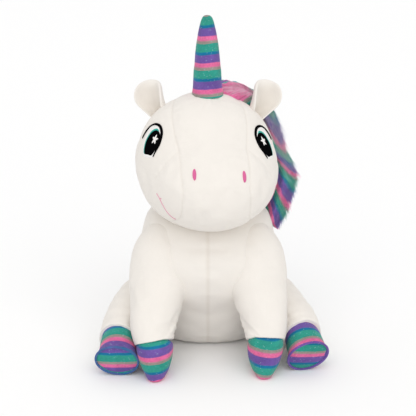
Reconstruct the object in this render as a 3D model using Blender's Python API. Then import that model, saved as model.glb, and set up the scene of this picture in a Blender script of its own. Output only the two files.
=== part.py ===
"""A seated plush unicorn, 35 cm tall: sewn fabric panels around separate stuffed pieces.

It faces -Y, its own left is +X, and the origin is on the floor in the middle of its flat seat.
Every soft shape is one Form: ellipses carried along a path. A panel is a thin piece of a Form's
surface, and the stuffing is the same Form drawn inwards by the fabric's thickness. Limbs, neck
and tail end in balls that sit in round sockets, so that they can turn in place.
"""

import math

import bmesh
import bpy
import numpy as np
from mathutils import Matrix, Vector

MM = 0.001

# Fabric and clearances
FABRIC = 1.6 * MM  # plush backing with its short pile pressed down
STRIPED_FABRIC = 1.8 * MM
SEAM_GAP = 0.45 * MM  # between two panels that are sewn together
LAYER_GAP = 1.2 * MM  # between layers, whose facets aren't parallel
TORSO_LAYER_GAP = 2.9 * MM  # the same inside the torso, whose rings are further apart
LEG_LAYER_GAP = 2.8 * MM  # the same inside a leg, which bends
SOCKET_GAP = 2.4 * MM  # round a piece that turns, so that facets never meet
ROOM_COPIES = 4  # how many places of a swinging leg its room is drawn round
THREAD = 0.8 * MM  # height of the embroidery
CLOSE = 0.01 * MM  # vertices nearer than this are one
CREASE = math.radians(40)  # edges sharper than this stay sharp

# Torso: rows of (x, y, z, half width, half depth), from the seat to the neck
TORSO_ROWS = (
    (0, 12, 0, 50, 47),
    (0, 8, 20, 63, 62),
    (0, 3, 50, 67, 65),
    (0, -3, 80, 68, 61),
    (0, -9, 108, 69, 53),
    (0, -10, 130, 67, 46),
    (0, -9, 150, 63, 42),
)
TORSO_CAP = 0.16
TORSO_PANELS = (0.02, 0.965)  # where the torso's panels start and end, from 0 to 1 up its length
BEAN_TOP = 0.19  # how far up the torso the bean bag reaches
BAG_GAP = 0.004  # between the bag and the stuffing, as a share of the torso's length
SIDE_SEAM = math.radians(88)
SEAT_MARGIN = 0.6 * MM  # what the seat panel is smaller than the torso's end

# Head: rows as above, in a frame whose +Y runs back from the muzzle
HEAD_AXIS = (-2 * MM, -34 * MM)
HEAD_TURN = math.radians(7)
HEAD_ROWS = (
    (4, -42, 146, 68, 56),
    (4, -27, 168, 70, 68),
    (3, -17, 189, 73, 72),
    (1, -9, 210, 74, 70),
    (0, -3, 231, 73, 63),
    (0, -1, 253, 68, 56),
    (0, 0, 275, 60, 50),
)
HEAD_CAPS = (0.30, 0.52)
HEAD_PANELS = (0.03, 0.965)  # where the head's panels start and end, from 0 to 1 up its height
CHIN_TOP = 0.16
CHIN_SEAM = 0.005
FACE_HALF_WIDTH = 36 * MM
FACE_SEAM_SINES = (0.05, 0.85)  # the face panel never turns further round the head than this
NECK_CENTRE = (0, -14, 149)
NECK_RADIUS = 25

# Embroidery: places as (angle from the front in degrees, height from 0 to 1 up the head)
EYE_ANGLE = {"left": 48, "right": 55}
EYE_HEIGHT, EYE_HALF_HEIGHT, EYE_HALF_ANGLE = 0.70, 0.13, 7.5
NOSTRIL_ANGLE = {"left": 21, "right": 22}
NOSTRIL_HEIGHT, NOSTRIL_HALF_HEIGHT, NOSTRIL_HALF_ANGLE = 0.48, 0.045, 1.5
OVAL_REACH = 0.93  # the share of an oval's height that its panel covers, leaving blunt ends
MOUTH_LOW, MOUTH_HIGH, MOUTH_ANGLE = 0.19, 0.36, 54
MOUTH_SLOPE, MOUTH_HALF_WIDTH = 2.2, 0.012  # radians for each unit of height, and radians

# Legs: shoulder or hip ball, then rows down to the sole. x is the distance from the middle.
SHOULDER = (51, -43, 108)
SHOULDER_RADIUS = 29
FRONT_ANKLE = 0.715  # where the hoof starts, from 0 at the joint's end to 1 at the sole
HIP = (63, -4, 38.5)
HIP_RADIUS = 36
REAR_ANKLE = 0.70
LEG_TOP = 0.012  # where the leg's panels start
HOOF_SEAM = 0.008
LEG_FILL_END = 0.9
LEG_ROOM_END = 0.68  # how much of a leg is cut from the torso
SOLE_GAP = 0.5 * MM  # between the sole and the hoof cover's rim

SHOULDER_AXIS = (-1, 0, 0)  # on the left side; z changes sign on the right
SHOULDER_SWING = math.radians(45)
HIP_AXIS = (-0.87, 0, 0.5)
HIP_SWING = math.radians(35)
FRONT_LEG_ROWS = {  # x, y, z, half width, half depth, twist in degrees
    "left": (
        (52, -70, 80, 29, 28, 0),
        (57.5, -88, 56, 23, 23, 0),
        (58, -100, 33, 19.5, 19.5, 0),
        (57, -106, 17, 16.5, 20, 0),
        (57, -106, 0.6, 9, 16, 0),
    ),
    "right": (
        (50, -74, 80, 29, 28, 0),
        (54.5, -93, 56, 24, 23, 0),
        (54, -106, 31, 19.5, 19.5, 0),
        (53, -113, 16, 16.5, 20, 0),
        (53, -113, 0.6, 9, 16, 0),
    ),
}
REAR_LEG_ROWS = {
    "left": (
        (80, -34, 33, 28, 30, 0),
        (93, -60, 30, 23, 24, 10),
        (99, -82, 26, 18.5, 19.5, 20),
        (101, -94, 21, 19, 17.5, 28),
        (102, -107, 17, 21, 13.5, 30),
    ),
    "right": (
        (78, -38, 32, 28, 29, 0),
        (88, -66, 28, 22.5, 23, 4),
        (92.5, -89, 24, 18.5, 19, 8),
        (92, -103, 19, 19, 17, 10),
        (92, -117, 16, 21, 13.5, 10),
    ),
}

# Horn, ears and tail
HORN_BASE = (-0.5, -40, 275.4)
HORN_HEIGHT = 78
HORN_RADIUS = 15.6
HORN_PROFILE = (  # share of the height, share of the base radius
    (0.0, 1.0), (0.125, 0.96), (0.25, 0.90), (0.375, 0.85), (0.5, 0.79),
    (0.625, 0.71), (0.75, 0.62), (0.875, 0.50), (1.0, 0.36),
)
HORN_TIP_ROUNDING = 0.1
HORN_RINGS = (0.03, 0.2, 0.4, 0.6, 0.8, 0.9, 0.95, 0.98, 1)
EAR_LAYER = 2.4  # half the ear's thickness
EAR_SEAM = 0.6  # between the ear's two layers
EAR_ROWS = (  # x, y, z, half width, from the base to the tip
    (43, -26, 244, 9), (49, -22, 256, 14), (56, -19, 270, 17), (58, -18, 287.5, 13),
)
EAR_CAPS = (0.1, 0.4)
EAR_ROOM = 2.2 * MM
EAR_HINGE = (46, -24, 249)

# Mane: rows along each lock's middle
MANE_CREST_ROWS = (
    (14, -20, 276, 9, 10), (22, -10, 278, 17, 9), (14, 10, 271, 20, 9),
    (6, 26, 252, 22, 9), (4, 34, 230, 22, 9),
)
MANE_FALL_ROWS = (
    (38, 16, 262, 9, 18), (54, 12, 247, 8, 20), (66, 8, 226, 8, 20),
    (75, 4, 205, 9, 20), (81, 2, 190, 9.5, 20),
)
MANE_END_ROWS = (
    (81, 3.5, 179.5, 9.5, 19), (80, 8, 168, 9, 18), (78, 12, 150, 7.5, 15), (76, 14, 132, 4.5, 9),
)
MANE_NAPE_ROWS = (
    (4, 36, 216, 22, 8), (2, 35, 194, 22, 8), (2, 30, 172, 18, 8), (2, 26, 158, 12, 6),
)

TAIL_ROOT = (0, 62, 56)
TAIL_RADIUS = 10
TAIL_ROWS = (
    (0, 52, 58, 10, 10), (0, 62, 56, 10, 10), (0, 75, 53, 7, 7), (0, 88, 46, 10, 10),
    (0, 99, 31, 13, 11), (0, 104, 15, 12, 10), (0, 107, 3, 8, 7),
)

WHITE = (0.92, 0.89, 0.84, 1)
FILL_WHITE = (0.88, 0.88, 0.86, 1)
GREEN = (0.04, 0.35, 0.28, 1)
PURPLE = (0.22, 0.13, 0.40, 1)
PINK = (0.80, 0.17, 0.35, 1)
BLACK = (0.01, 0.01, 0.01, 1)
BEIGE = (0.55, 0.50, 0.42, 1)


def clear_scene():
    for old in list(bpy.data.objects):
        bpy.data.objects.remove(old)


def material(name, colour, roughness):
    """The named material, made on first use."""
    found = bpy.data.materials.get(name)
    if found:
        return found
    made = bpy.data.materials.new(name)
    made.use_nodes = True
    shader = made.node_tree.nodes["Principled BSDF"]
    shader.inputs["Base Color"].default_value = colour
    shader.inputs["Roughness"].default_value = roughness
    made.diffuse_color = colour
    return made


def white_plush():
    return material("white_plush", WHITE, 0.9)


def filling():
    return material("fibre_fill", FILL_WHITE, 1.0)


class Form:
    """Ellipses carried along a path: position, half sizes and twist at each s from 0 to 1.

    Rows are (x, y, z, half width, half depth[, twist in degrees]) in millimetres, joined by a
    Catmull-Rom curve. caps are the shares of the length over which each end closes like a dome;
    0 leaves that end flat. level keeps the rings horizontal. turn is (angle, axis x, axis y), a
    turn of the whole form about a vertical axis.
    """

    def __init__(self, rows, caps=(0.0, 0.0), level=False, turn=(0.0, 0.0, 0.0)):
        table = np.zeros((len(rows), 6))
        for index, row in enumerate(rows):
            table[index, : len(row)] = row
        table[:, :5] *= MM
        table[:, 5] = np.radians(table[:, 5])
        self.table = table
        self.caps = caps
        self.level = level
        self.turn = turn

    def row(self, s):
        """The table's values at s, by Catmull-Rom interpolation."""
        last = len(self.table) - 1
        place = np.clip(np.asarray(s, float), 0, 1) * last
        low = np.clip(np.floor(place).astype(int), 0, last - 1)
        f = (place - low)[..., None]
        first = self.table[np.clip(low - 1, 0, last)]
        start = self.table[low]
        end = self.table[low + 1]
        final = self.table[np.clip(low + 2, 0, last)]
        return 0.5 * (
            2 * start
            + (end - first) * f
            + (2 * first - 5 * start + 4 * end - final) * f**2
            + (3 * start - first - 3 * end + final) * f**3
        )

    def dome(self, s):
        """The share of its full size that a ring has at s, from the domes at the ends."""
        share = np.ones_like(s)
        start, end = self.caps
        if start:
            share *= np.sqrt(np.clip(1 - np.clip(1 - s / start, 0, 1) ** 2, 0, 1))
        if end:
            share *= np.sqrt(np.clip(1 - np.clip((s - 1) / end + 1, 0, 1) ** 2, 0, 1))
        return share

    def ring_radius(self, s):
        row = self.row(s)
        return 0.5 * (row[..., 3] + row[..., 4]) * self.dome(s)

    def frame(self, s):
        """Unit vectors across the form, to its front, and along it, at s."""
        shape = np.shape(s) + (3,)
        across = np.zeros(shape)
        across[..., 0] = 1
        if self.level:
            front = np.zeros(shape)
            front[..., 1] = -1
            return across, front
        step = 0.01
        along = self.row(np.clip(s + step, 0, 1)) - self.row(np.clip(s - step, 0, 1))
        along = along[..., :3] / np.linalg.norm(along[..., :3], axis=-1, keepdims=True)
        across = across - (across * along).sum(-1, keepdims=True) * along
        across /= np.linalg.norm(across, axis=-1, keepdims=True)
        return across, np.cross(along, across)

    def surface(self, s, angle):
        """Points of the outer surface. Angle 0 is the front, and +90 degrees is the +X side."""
        row = self.row(s)
        across, front = self.frame(s)
        size = self.dome(s)
        wide = row[..., 3] * size * np.sin(angle)
        deep = row[..., 4] * size * np.cos(angle)
        turned_wide = wide * np.cos(row[..., 5]) - deep * np.sin(row[..., 5])
        turned_deep = wide * np.sin(row[..., 5]) + deep * np.cos(row[..., 5])
        points = row[..., :3] + turned_wide[..., None] * across + turned_deep[..., None] * front
        return self.turned(points)

    def turned(self, points):
        angle, axis_x, axis_y = self.turn
        c, s = math.cos(angle), math.sin(angle)
        x = points[..., 0]
        y = points[..., 1]
        out = points.copy()
        out[..., 0] = axis_x + c * x - s * y
        out[..., 1] = axis_y + s * x + c * y
        return out

    def inset(self, s, angle, depth):
        """Surface points moved inwards by depth along the normal."""
        tiny = 1e-4
        inner_s = np.clip(s, 5 * tiny, 1 - 5 * tiny)
        along = self.surface(inner_s + tiny, angle) - self.surface(inner_s - tiny, angle)
        round_it = self.surface(inner_s, angle + 0.01) - self.surface(inner_s, angle - 0.01)
        normal = np.cross(round_it, along)
        normal /= np.linalg.norm(normal, axis=-1, keepdims=True)
        centre = self.turned(self.row(inner_s)[..., :3])
        outward = ((self.surface(inner_s, angle) - centre) * normal).sum(-1, keepdims=True)
        return self.surface(s, angle) - depth * normal * np.sign(outward)


def finish(name, bm, finish_material):
    """Welds the mesh, turns its faces outwards and makes the object."""
    bmesh.ops.remove_doubles(bm, verts=bm.verts, dist=CLOSE)
    bmesh.ops.dissolve_degenerate(bm, edges=bm.edges, dist=CLOSE / 10)
    bmesh.ops.recalc_face_normals(bm, faces=bm.faces)
    mesh = bpy.data.meshes.new(name)
    bm.to_mesh(mesh)
    bm.free()
    obj = bpy.data.objects.new(name, mesh)
    bpy.context.scene.collection.objects.link(obj)
    mesh.materials.append(finish_material)
    mesh.shade_smooth()
    mesh.set_sharp_from_angle(angle=CREASE)
    return obj


def grid_faces(bm, verts, closed_round):
    """Quads between neighbouring rows of a grid of vertices."""
    rows, columns = verts.shape
    for i in range(rows - 1):
        for j in range(columns if closed_round else columns - 1):
            k = (j + 1) % columns
            bm.faces.new((verts[i, j], verts[i, k], verts[i + 1, k], verts[i + 1, j]))


def add_grid(bm, points):
    flat = [bm.verts.new(p) for p in points.reshape(-1, 3)]
    verts = np.empty(len(flat), object)
    verts[:] = flat
    return verts.reshape(points.shape[:2])


def panel(name, form, s_range, angle_range, finish_material, thickness=FABRIC, rise=0.0, steps=(8, 8)):
    """A piece of fabric: the part of the form's surface inside both ranges, given a thickness.

    s_range is where it starts and ends, or every ring's place. angle_range is two numbers or two
    functions of s, or None for a closed sleeve. rise lifts the piece off the surface.
    """
    s = np.array(s_range) if len(s_range) > 2 else np.linspace(*s_range, steps[0] + 1)
    closed_round = angle_range is None
    if closed_round:
        share = np.arange(steps[1]) / steps[1]
        angle = np.tile(share * 2 * math.pi, (len(s), 1))
    else:
        low, high = (a(s) if callable(a) else np.full_like(s, a) for a in angle_range)
        seam = SEAM_GAP / 2 / np.maximum(form.ring_radius(s), 2 * MM)
        share = np.linspace(0, 1, steps[1] + 1)
        angle = (low + seam)[:, None] + share[None] * (high - low - 2 * seam)[:, None]
    s_grid = np.tile(s[:, None], (1, angle.shape[1]))
    bm = bmesh.new()
    outer = add_grid(bm, form.inset(s_grid, angle, -rise))
    inner = add_grid(bm, form.inset(s_grid, angle, thickness - rise))
    grid_faces(bm, outer, closed_round)
    grid_faces(bm, inner, closed_round)
    for edge in (0, -1):
        grid_faces(bm, np.stack([outer[edge], inner[edge]]), closed_round)
        if not closed_round:
            grid_faces(bm, np.stack([outer[:, edge], inner[:, edge]]), False)
    return finish(name, bm, finish_material)


def filled(name, form, s_range, depth, finish_material, steps=(10, 14)):
    """The solid inside a form, drawn inwards by depth, with flat or domed ends."""
    share = 0.5 - 0.5 * np.cos(np.linspace(0, math.pi, steps[0] + 1))
    s = s_range[0] + share * (s_range[1] - s_range[0])
    angle = np.tile(np.arange(steps[1]) * 2 * math.pi / steps[1], (len(s), 1))
    points = form.inset(np.tile(s[:, None], (1, steps[1])), angle, depth)
    bm = bmesh.new()
    for end, row in ((0, 0), (1, -1)):
        if s_range[end] == end and form.caps[end]:
            points[row] = points[row].mean(axis=0)
    verts = add_grid(bm, points)
    grid_faces(bm, verts, True)
    for end, row in ((0, 0), (1, -1)):
        if not (s_range[end] == end and form.caps[end]):
            bm.faces.new(list(verts[row]))
    return finish(name, bm, finish_material)


def disc(name, form, s, thickness, finish_material, margin, count=20):
    """A flat panel that closes the form's end at s, reaching thickness back into it."""
    angle = np.arange(count) * 2 * math.pi / count
    rim = form.inset(np.full(count, s), angle, margin)
    centre = form.turned(form.row(s)[None, :3])[0]
    inside = s + (0.05 if s < 0.5 else -0.05)
    away = centre - form.turned(form.row(inside)[None, :3])[0]
    normal = np.cross(*form.frame(s))
    normal *= np.sign((normal * away).sum()) / np.linalg.norm(normal)
    flat = rim - ((rim - centre) @ normal)[:, None] * normal
    bm = bmesh.new()
    front = add_grid(bm, flat[None])
    back = add_grid(bm, (flat - thickness * normal)[None])
    grid_faces(bm, np.concatenate([front, back]), True)
    bm.faces.new(list(front[0]))
    bm.faces.new(list(back[0]))
    return finish(name, bm, finish_material)


def hidden(cutter):
    """The object, kept out of the model: it only cuts."""
    cutter.hide_render = True
    cutter.display_type = "WIRE"
    return cutter


def ball(name, centre, radius, finish_material, steps=(28, 16)):
    bm = bmesh.new()
    bmesh.ops.create_uvsphere(bm, u_segments=steps[0], v_segments=steps[1], radius=radius)
    bmesh.ops.translate(bm, verts=bm.verts, vec=centre)
    return finish(name, bm, finish_material)


def cut(pieces, cutter):
    for piece in pieces:
        modifier = piece.modifiers.new("socket", "BOOLEAN")
        modifier.operation = "DIFFERENCE"
        modifier.solver = "EXACT"
        modifier.object = cutter


def hold_at(name, place, pieces):
    """Parents the pieces to an empty on their joint's axis, without moving them."""
    empty = bpy.data.objects.new(name, None)
    empty.location = place
    bpy.context.scene.collection.objects.link(empty)
    for piece in pieces:
        piece.parent = empty
        piece.location = [-value for value in place]


def in_metres(place, side=1):
    """The place in metres, on the given side."""
    return (side * place[0] * MM, place[1] * MM, place[2] * MM)


def make_torso():
    form = Form(TORSO_ROWS, (0.0, TORSO_CAP), level=True)
    back = math.pi
    ranges = (
        ("chest_panel_left", (0.0, SIDE_SEAM)),
        ("chest_panel_right", (-SIDE_SEAM, 0.0)),
        ("back_panel_left", (SIDE_SEAM, back)),
        ("back_panel_right", (-back, -SIDE_SEAM)),
    )
    pieces = [
        panel(name, form, TORSO_PANELS, angles, white_plush(), steps=(9, 6)) for name, angles in ranges
    ]
    depth = FABRIC + TORSO_LAYER_GAP
    beans = material("bean_bag_cloth", BEIGE, 0.85)
    bag = (TORSO_PANELS[0], BEAN_TOP)
    above = (BEAN_TOP + BAG_GAP, 1)
    pieces.append(filled("bean_bag", form, bag, depth, beans, steps=(5, 20)))
    pieces.append(filled("torso_stuffing", form, above, depth, filling(), steps=(10, 20)))
    disc("seat_panel", form, 0.0, FABRIC, white_plush(), SEAT_MARGIN, count=28)
    return pieces


def face_edge(form, side):
    """The angle at which the face panel's seam runs, a fixed distance from the middle plane."""

    def angle(s):
        wide = form.row(s)[..., 3] * form.dome(s)
        return side * np.arcsin(np.clip(FACE_HALF_WIDTH / wide, *FACE_SEAM_SINES))

    return angle


def oval(middle, half_angle, s_middle, s_half, side):
    """Two functions of s that bound an oval patch of embroidery."""

    def edge(sign):
        def angle(s):
            share = np.sqrt(np.clip(1 - ((s - s_middle) / s_half) ** 2, 0, 1))
            return side * middle + sign * half_angle * share

        return angle

    return edge(-1), edge(1)


def make_head():
    form = Form(HEAD_ROWS, HEAD_CAPS, level=True, turn=(HEAD_TURN, *HEAD_AXIS))
    low, high = HEAD_PANELS
    back = math.pi
    right_seam, left_seam = face_edge(form, -1), face_edge(form, 1)
    ranges = (
        ("face_panel", (right_seam, left_seam), 6),
        ("cheek_panel_left", (left_seam, SIDE_SEAM), 5),
        ("cheek_panel_right", (-SIDE_SEAM, right_seam), 5),
        ("head_back_panel_left", (SIDE_SEAM, back), 6),
        ("head_back_panel_right", (-back, -SIDE_SEAM), 6),
    )
    pieces = [
        panel(name, form, (CHIN_TOP, high), angles, white_plush(), steps=(9, count))
        for name, angles, count in ranges
    ]
    chin = (low, CHIN_TOP - CHIN_SEAM)
    pieces.append(panel("chin_panel", form, chin, None, white_plush(), steps=(3, 22)))
    depth = FABRIC + LAYER_GAP
    pieces.append(filled("head_stuffing", form, (0, 1), depth, filling(), steps=(11, 20)))
    return form, pieces


def mouth_edge(side, sign):
    """The angle of one edge of the mouth's line, which runs towards the chin's middle."""

    def angle(s):
        middle = math.radians(MOUTH_ANGLE) - (MOUTH_HIGH - s) * MOUTH_SLOPE
        return side * middle + sign * MOUTH_HALF_WIDTH

    return angle


def make_face(form):
    """Embroidered eyes, nostrils and mouth, as thin raised patches of thread."""
    black = material("black_thread", BLACK, 0.45)
    pink = material("pink_thread", PINK, 0.6)
    rise = THREAD + LAYER_GAP
    ovals = (
        ("eye", EYE_ANGLE, EYE_HALF_ANGLE, EYE_HEIGHT, EYE_HALF_HEIGHT, black, (8, 3)),
        ("nostril", NOSTRIL_ANGLE, NOSTRIL_HALF_ANGLE, NOSTRIL_HEIGHT, NOSTRIL_HALF_HEIGHT, pink, (6, 2)),
    )
    pieces = []
    for side, half in ((1, "left"), (-1, "right")):
        for kind, angles, half_angle, height, half_height, thread, steps in ovals:
            edges = oval(math.radians(angles[half]), math.radians(half_angle), height, half_height, side)
            reach = OVAL_REACH * half_height
            heights = (height - reach, height + reach)
            pieces.append(panel(f"{kind}_{half}", form, heights, edges, thread, THREAD, rise, steps))
        edges = (mouth_edge(side, -1), mouth_edge(side, 1))
        heights = (MOUTH_LOW, MOUTH_HIGH)
        pieces.append(panel(f"mouth_{half}", form, heights, edges, pink, THREAD, rise, (8, 2)))
    return pieces


def make_mane():
    """Long-pile fabric along the head's middle line, combed over to the unicorn's left."""
    pile = material("mane_pile", PURPLE, 0.8)
    return [
        filled("mane_crest", Form(MANE_CREST_ROWS, (0.2, 0.0)), (0, 0.99), 0.0, pile, steps=(9, 12)),
        filled("mane_nape", Form(MANE_NAPE_ROWS, (0.0, 0.3)), (0, 1), 0.0, pile, steps=(7, 12)),
        filled("mane_fall", Form(MANE_FALL_ROWS, (0.3, 0.0)), (0, 1), 0.0, pile, steps=(8, 12)),
        filled("mane_end", Form(MANE_END_ROWS, (0.0, 0.4)), (0, 1), 0.0, pile, steps=(8, 12)),
    ]


def leg_form(ball, radius, rows):
    """A ball of the given radius at the joint, then the rows down to a flat sole."""
    toward = np.array(rows[0][:3]) - np.array(ball)
    toward = toward / np.linalg.norm(toward)
    start = np.array(ball) - toward * radius
    return Form([(*start, radius, radius), (*ball, radius, radius), *rows], (1 / (len(rows) + 1), 0.0))


def make_leg(name, form, side, ankle, hoof):
    """A leg: two fabric panels, stuffing, striped hoof cover and sole, round one Form."""
    depth = FABRIC + LEG_LAYER_GAP
    outer, inner = (0.0, math.pi), (-math.pi, 0.0)
    if side < 0:
        outer, inner = inner, outer
    cover = (ankle + HOOF_SEAM, 1)
    return [
        panel(f"{name}_outer_panel", form, (LEG_TOP, ankle), outer, white_plush(), steps=(8, 8)),
        panel(f"{name}_inner_panel", form, (LEG_TOP, ankle), inner, white_plush(), steps=(8, 8)),
        filled(f"{name}_stuffing", form, (0, LEG_FILL_END), depth, filling(), steps=(9, 16)),
        panel(f"{name}_hoof_cover", form, cover, None, hoof, STRIPED_FABRIC, steps=(3, 16)),
        disc(f"{name}_hoof_sole", form, 1.0, STRIPED_FABRIC, hoof, STRIPED_FABRIC + SOLE_GAP, count=16),
    ]


def mirrored(rows, side):
    """The rows on the given side: x and the twist change sign."""
    return [(side * x, y, z, wide, deep, side * twist) for x, y, z, wide, deep, twist in rows]


def leg_room(name, form, pivot, axis, swing):
    """What a leg sweeps as it swings: one hidden convex solid round fat copies of its thigh."""
    quarter = np.linspace(0, math.pi / 2, 13)
    heights = LEG_ROOM_END * (1 - np.cos(quarter))
    s, angle = np.meshgrid(heights, np.arange(20) * 2 * math.pi / 20, indexing="ij")
    thigh = form.inset(s, angle, -SOCKET_GAP).reshape(-1, 3)
    bm = bmesh.new()
    for share in np.linspace(0, 1, ROOM_COPIES):
        turn = Matrix.Rotation(swing * share, 4, axis)
        place = Matrix.Translation(pivot) @ turn @ Matrix.Translation(-Vector(pivot))
        for point in thigh:
            bm.verts.new(place @ Vector(point))
    hull = bmesh.ops.convex_hull(bm, input=bm.verts)
    spare = {v for v in hull["geom_interior"] + hull["geom_unused"] if isinstance(v, bmesh.types.BMVert)}
    bmesh.ops.delete(bm, geom=list(spare), context="VERTS")
    return hidden(finish(name, bm, filling()))


def make_legs(torso):
    """Four legs, each on an empty at its joint, and their sockets in the torso."""
    green = material("striped_plush_green", GREEN, 0.8)
    purple = material("striped_plush_purple", PURPLE, 0.8)
    kinds = (
        ("front_leg", SHOULDER, SHOULDER_RADIUS, FRONT_LEG_ROWS, FRONT_ANKLE, green,
         SHOULDER_AXIS, SHOULDER_SWING),
        ("rear_leg", HIP, HIP_RADIUS, REAR_LEG_ROWS, REAR_ANKLE, purple,
         HIP_AXIS, HIP_SWING),
    )
    for kind, middle, radius, rows, ankle, hoof, axis, swing in kinds:
        for side, half in ((1, "left"), (-1, "right")):
            name = f"{kind}_{half}"
            form = leg_form((side * middle[0], *middle[1:]), radius, mirrored(rows[half], side))
            pieces = make_leg(name, form, side, ankle, hoof)
            pivot = in_metres(middle, side)
            turn = Vector((axis[0], 0, side * axis[2]))
            near = [piece for piece in torso if half in piece.name or "panel" not in piece.name]
            cut(near, leg_room(f"{name}_room", form, pivot, turn, swing))
            hold_at(f"{name}_joint", pivot, pieces)


def make_horn():
    striped = material("striped_plush_horn", PURPLE, 0.8)
    x, y, z = HORN_BASE
    rows = [(x, y, z + share * HORN_HEIGHT, HORN_RADIUS * wide, HORN_RADIUS * wide)
            for share, wide in HORN_PROFILE]
    form = Form(rows, (0.0, HORN_TIP_ROUNDING), level=True)
    depth = STRIPED_FABRIC + LAYER_GAP
    return [
        panel("horn_cover", form, HORN_RINGS, None, striped, STRIPED_FABRIC, steps=(8, 18)),
        filled("horn_stuffing", form, (0.0, 0.9), depth, filling(), steps=(7, 14)),
    ]


def make_ear(side, name):
    """An ear's front and back panel, one flat Form behind the other."""
    pieces = []
    for layer, shift in (("front", -EAR_LAYER), ("back", EAR_LAYER)):
        thick = EAR_LAYER - EAR_SEAM / 2
        rows = [(side * x, y + shift, z, wide, thick) for x, y, z, wide in EAR_ROWS]
        form = Form(rows, EAR_CAPS)
        pieces.append(filled(f"ear_{name}_{layer}", form, (0, 1), 0.0, white_plush(), steps=(8, 12)))
    return pieces


def make_tail():
    pile = material("tail_pile", PINK, 0.8)
    form = Form(TAIL_ROWS, (0.18, 0.3))
    return [filled("tail", form, (0, 1), 0.0, pile, steps=(12, 14))]


def room_round(name, form, gap):
    """A hidden copy of a form, fatter by gap, that keeps other pieces off it."""
    return hidden(filled(name, form, (0, 1), -gap, filling(), steps=(14, 24)))


def make_unicorn():
    torso = make_torso()
    head_form, head = make_head()
    mane = make_mane()
    cut(mane, room_round("head_room", head_form, LAYER_GAP))
    ear_room = room_round("head_room_at_ears", head_form, EAR_ROOM)
    for side, name in ((1, "left"), (-1, "right")):
        ear = make_ear(side, name)
        cut(ear, ear_room)
        hold_at(f"ear_{name}_joint", in_metres(EAR_HINGE, side), ear)
    hold_at("horn_joint", in_metres(HORN_BASE), make_horn())
    make_legs(torso)

    neck_centre = in_metres(NECK_CENTRE)
    radius = NECK_RADIUS * MM
    socket = hidden(ball("neck_socket", neck_centre, radius + SOCKET_GAP, filling()))
    cut(torso + head, socket)
    neck = ball("neck_stuffing", neck_centre, radius, filling(), steps=(20, 12))
    hold_at("neck_joint", neck_centre, [neck] + head + make_face(head_form) + mane)

    tail_root = in_metres(TAIL_ROOT)
    cut(torso, hidden(ball("tail_socket", tail_root, TAIL_RADIUS * MM + SOCKET_GAP, filling())))
    hold_at("tail_joint", tail_root, make_tail())


clear_scene()
make_unicorn()
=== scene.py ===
import math

import bpy
import numpy as np
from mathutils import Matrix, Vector


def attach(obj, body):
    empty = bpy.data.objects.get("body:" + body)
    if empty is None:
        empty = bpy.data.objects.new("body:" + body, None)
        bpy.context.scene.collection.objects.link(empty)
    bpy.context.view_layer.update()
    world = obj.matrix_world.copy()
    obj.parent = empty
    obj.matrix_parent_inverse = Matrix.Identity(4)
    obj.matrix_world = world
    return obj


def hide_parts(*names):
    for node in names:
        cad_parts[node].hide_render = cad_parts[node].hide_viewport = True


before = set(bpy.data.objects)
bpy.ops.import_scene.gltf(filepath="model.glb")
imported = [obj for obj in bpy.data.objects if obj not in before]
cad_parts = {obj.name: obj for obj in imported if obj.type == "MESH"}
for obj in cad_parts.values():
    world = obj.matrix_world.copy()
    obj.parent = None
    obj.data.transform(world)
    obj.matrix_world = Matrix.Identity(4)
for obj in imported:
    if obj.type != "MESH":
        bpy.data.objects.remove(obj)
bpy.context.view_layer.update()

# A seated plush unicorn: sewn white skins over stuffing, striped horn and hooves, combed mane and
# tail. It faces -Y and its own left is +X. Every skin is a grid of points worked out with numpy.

MM = 0.001
LEFT, RIGHT = 1, -1
SIDES = ((LEFT, "left"), (RIGHT, "right"))

# Colours, as linear values
WHITE_PLUSH = (0.805, 0.765, 0.715, 1)
# Painted shade: the white plush turns towards this down in its seams and in the ears' hollows
SEAM_SHADE = (0.62, 0.55, 0.47, 1)
GREEN = (0.030, 0.300, 0.235, 1)
BLUE = (0.006, 0.155, 0.310, 1)
PURPLE = (0.150, 0.085, 0.330, 1)
PINK = (0.720, 0.140, 0.320, 1)
GREY = (0.290, 0.260, 0.235, 1)
EMBROIDERY_PINK = (0.700, 0.140, 0.330, 1)
BLACK_THREAD = (0.0025, 0.0025, 0.003, 1)
WHITE_THREAD = (0.90, 0.88, 0.86, 1)
TEAL_THREAD = (0.035, 0.400, 0.330, 1)

# Head: two balls melted into one form, in the head's own frame, turned about a vertical axis
HEAD_AXIS = np.array((-2.0, -34.0, 0.0))
HEAD_TURN = math.radians(7)
HEAD_CENTRE = np.array((1.0, -14.0, 205.0))
HEAD_BALLS = (  # centre and half sizes, in millimetres
    ((-0.4, 0.2, 206.5), (70.9, 58.0, 69.5)),  # the round skull
    ((3.0, -31.0, 189.9), (59.6, 57.0, 44.7)),  # the muzzle
)
MELT = 6.0  # how sharply the balls meet

SEAM_WIDTH = 1.1
SEAM_DEPTH = 0.7
FLOOR_GAP = 0.3  # how far the legs and hooves stay off the floor
WHOLE_REPEATS = 3  # added to a band value so that it stays above 0

CLOTH_PRESSURE = 2.0
CLOTH_STEPS = 20
CLOTH_GRID = (44, 64)  # about how many rings and columns its coarse copy has


# ---------------------------------------------------------------- numbers on grids

def spline(table, s):
    """Rows of a table at s from 0 to 1, by Catmull-Rom interpolation."""
    table = np.asarray(table, float)
    last = len(table) - 1
    place = np.clip(s, 0, 1) * last
    low = np.clip(np.floor(place).astype(int), 0, last - 1)
    f = (place - low)[..., None]
    a, b, c, d = (table[np.clip(low + k, 0, last)] for k in (-1, 0, 1, 2))
    return 0.5 * (
        2 * b + (c - a) * f + (2 * a - 5 * b + 4 * c - d) * f**2 + (3 * b - a - 3 * c + d) * f**3
    )


def unit(v):
    """The vectors divided by their lengths."""
    return v / np.maximum(np.linalg.norm(v, axis=-1, keepdims=True), 1e-9)


def bell(x, width):
    """A smooth hump of height 1 at x = 0."""
    return np.exp(-((x / width) ** 2))


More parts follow.
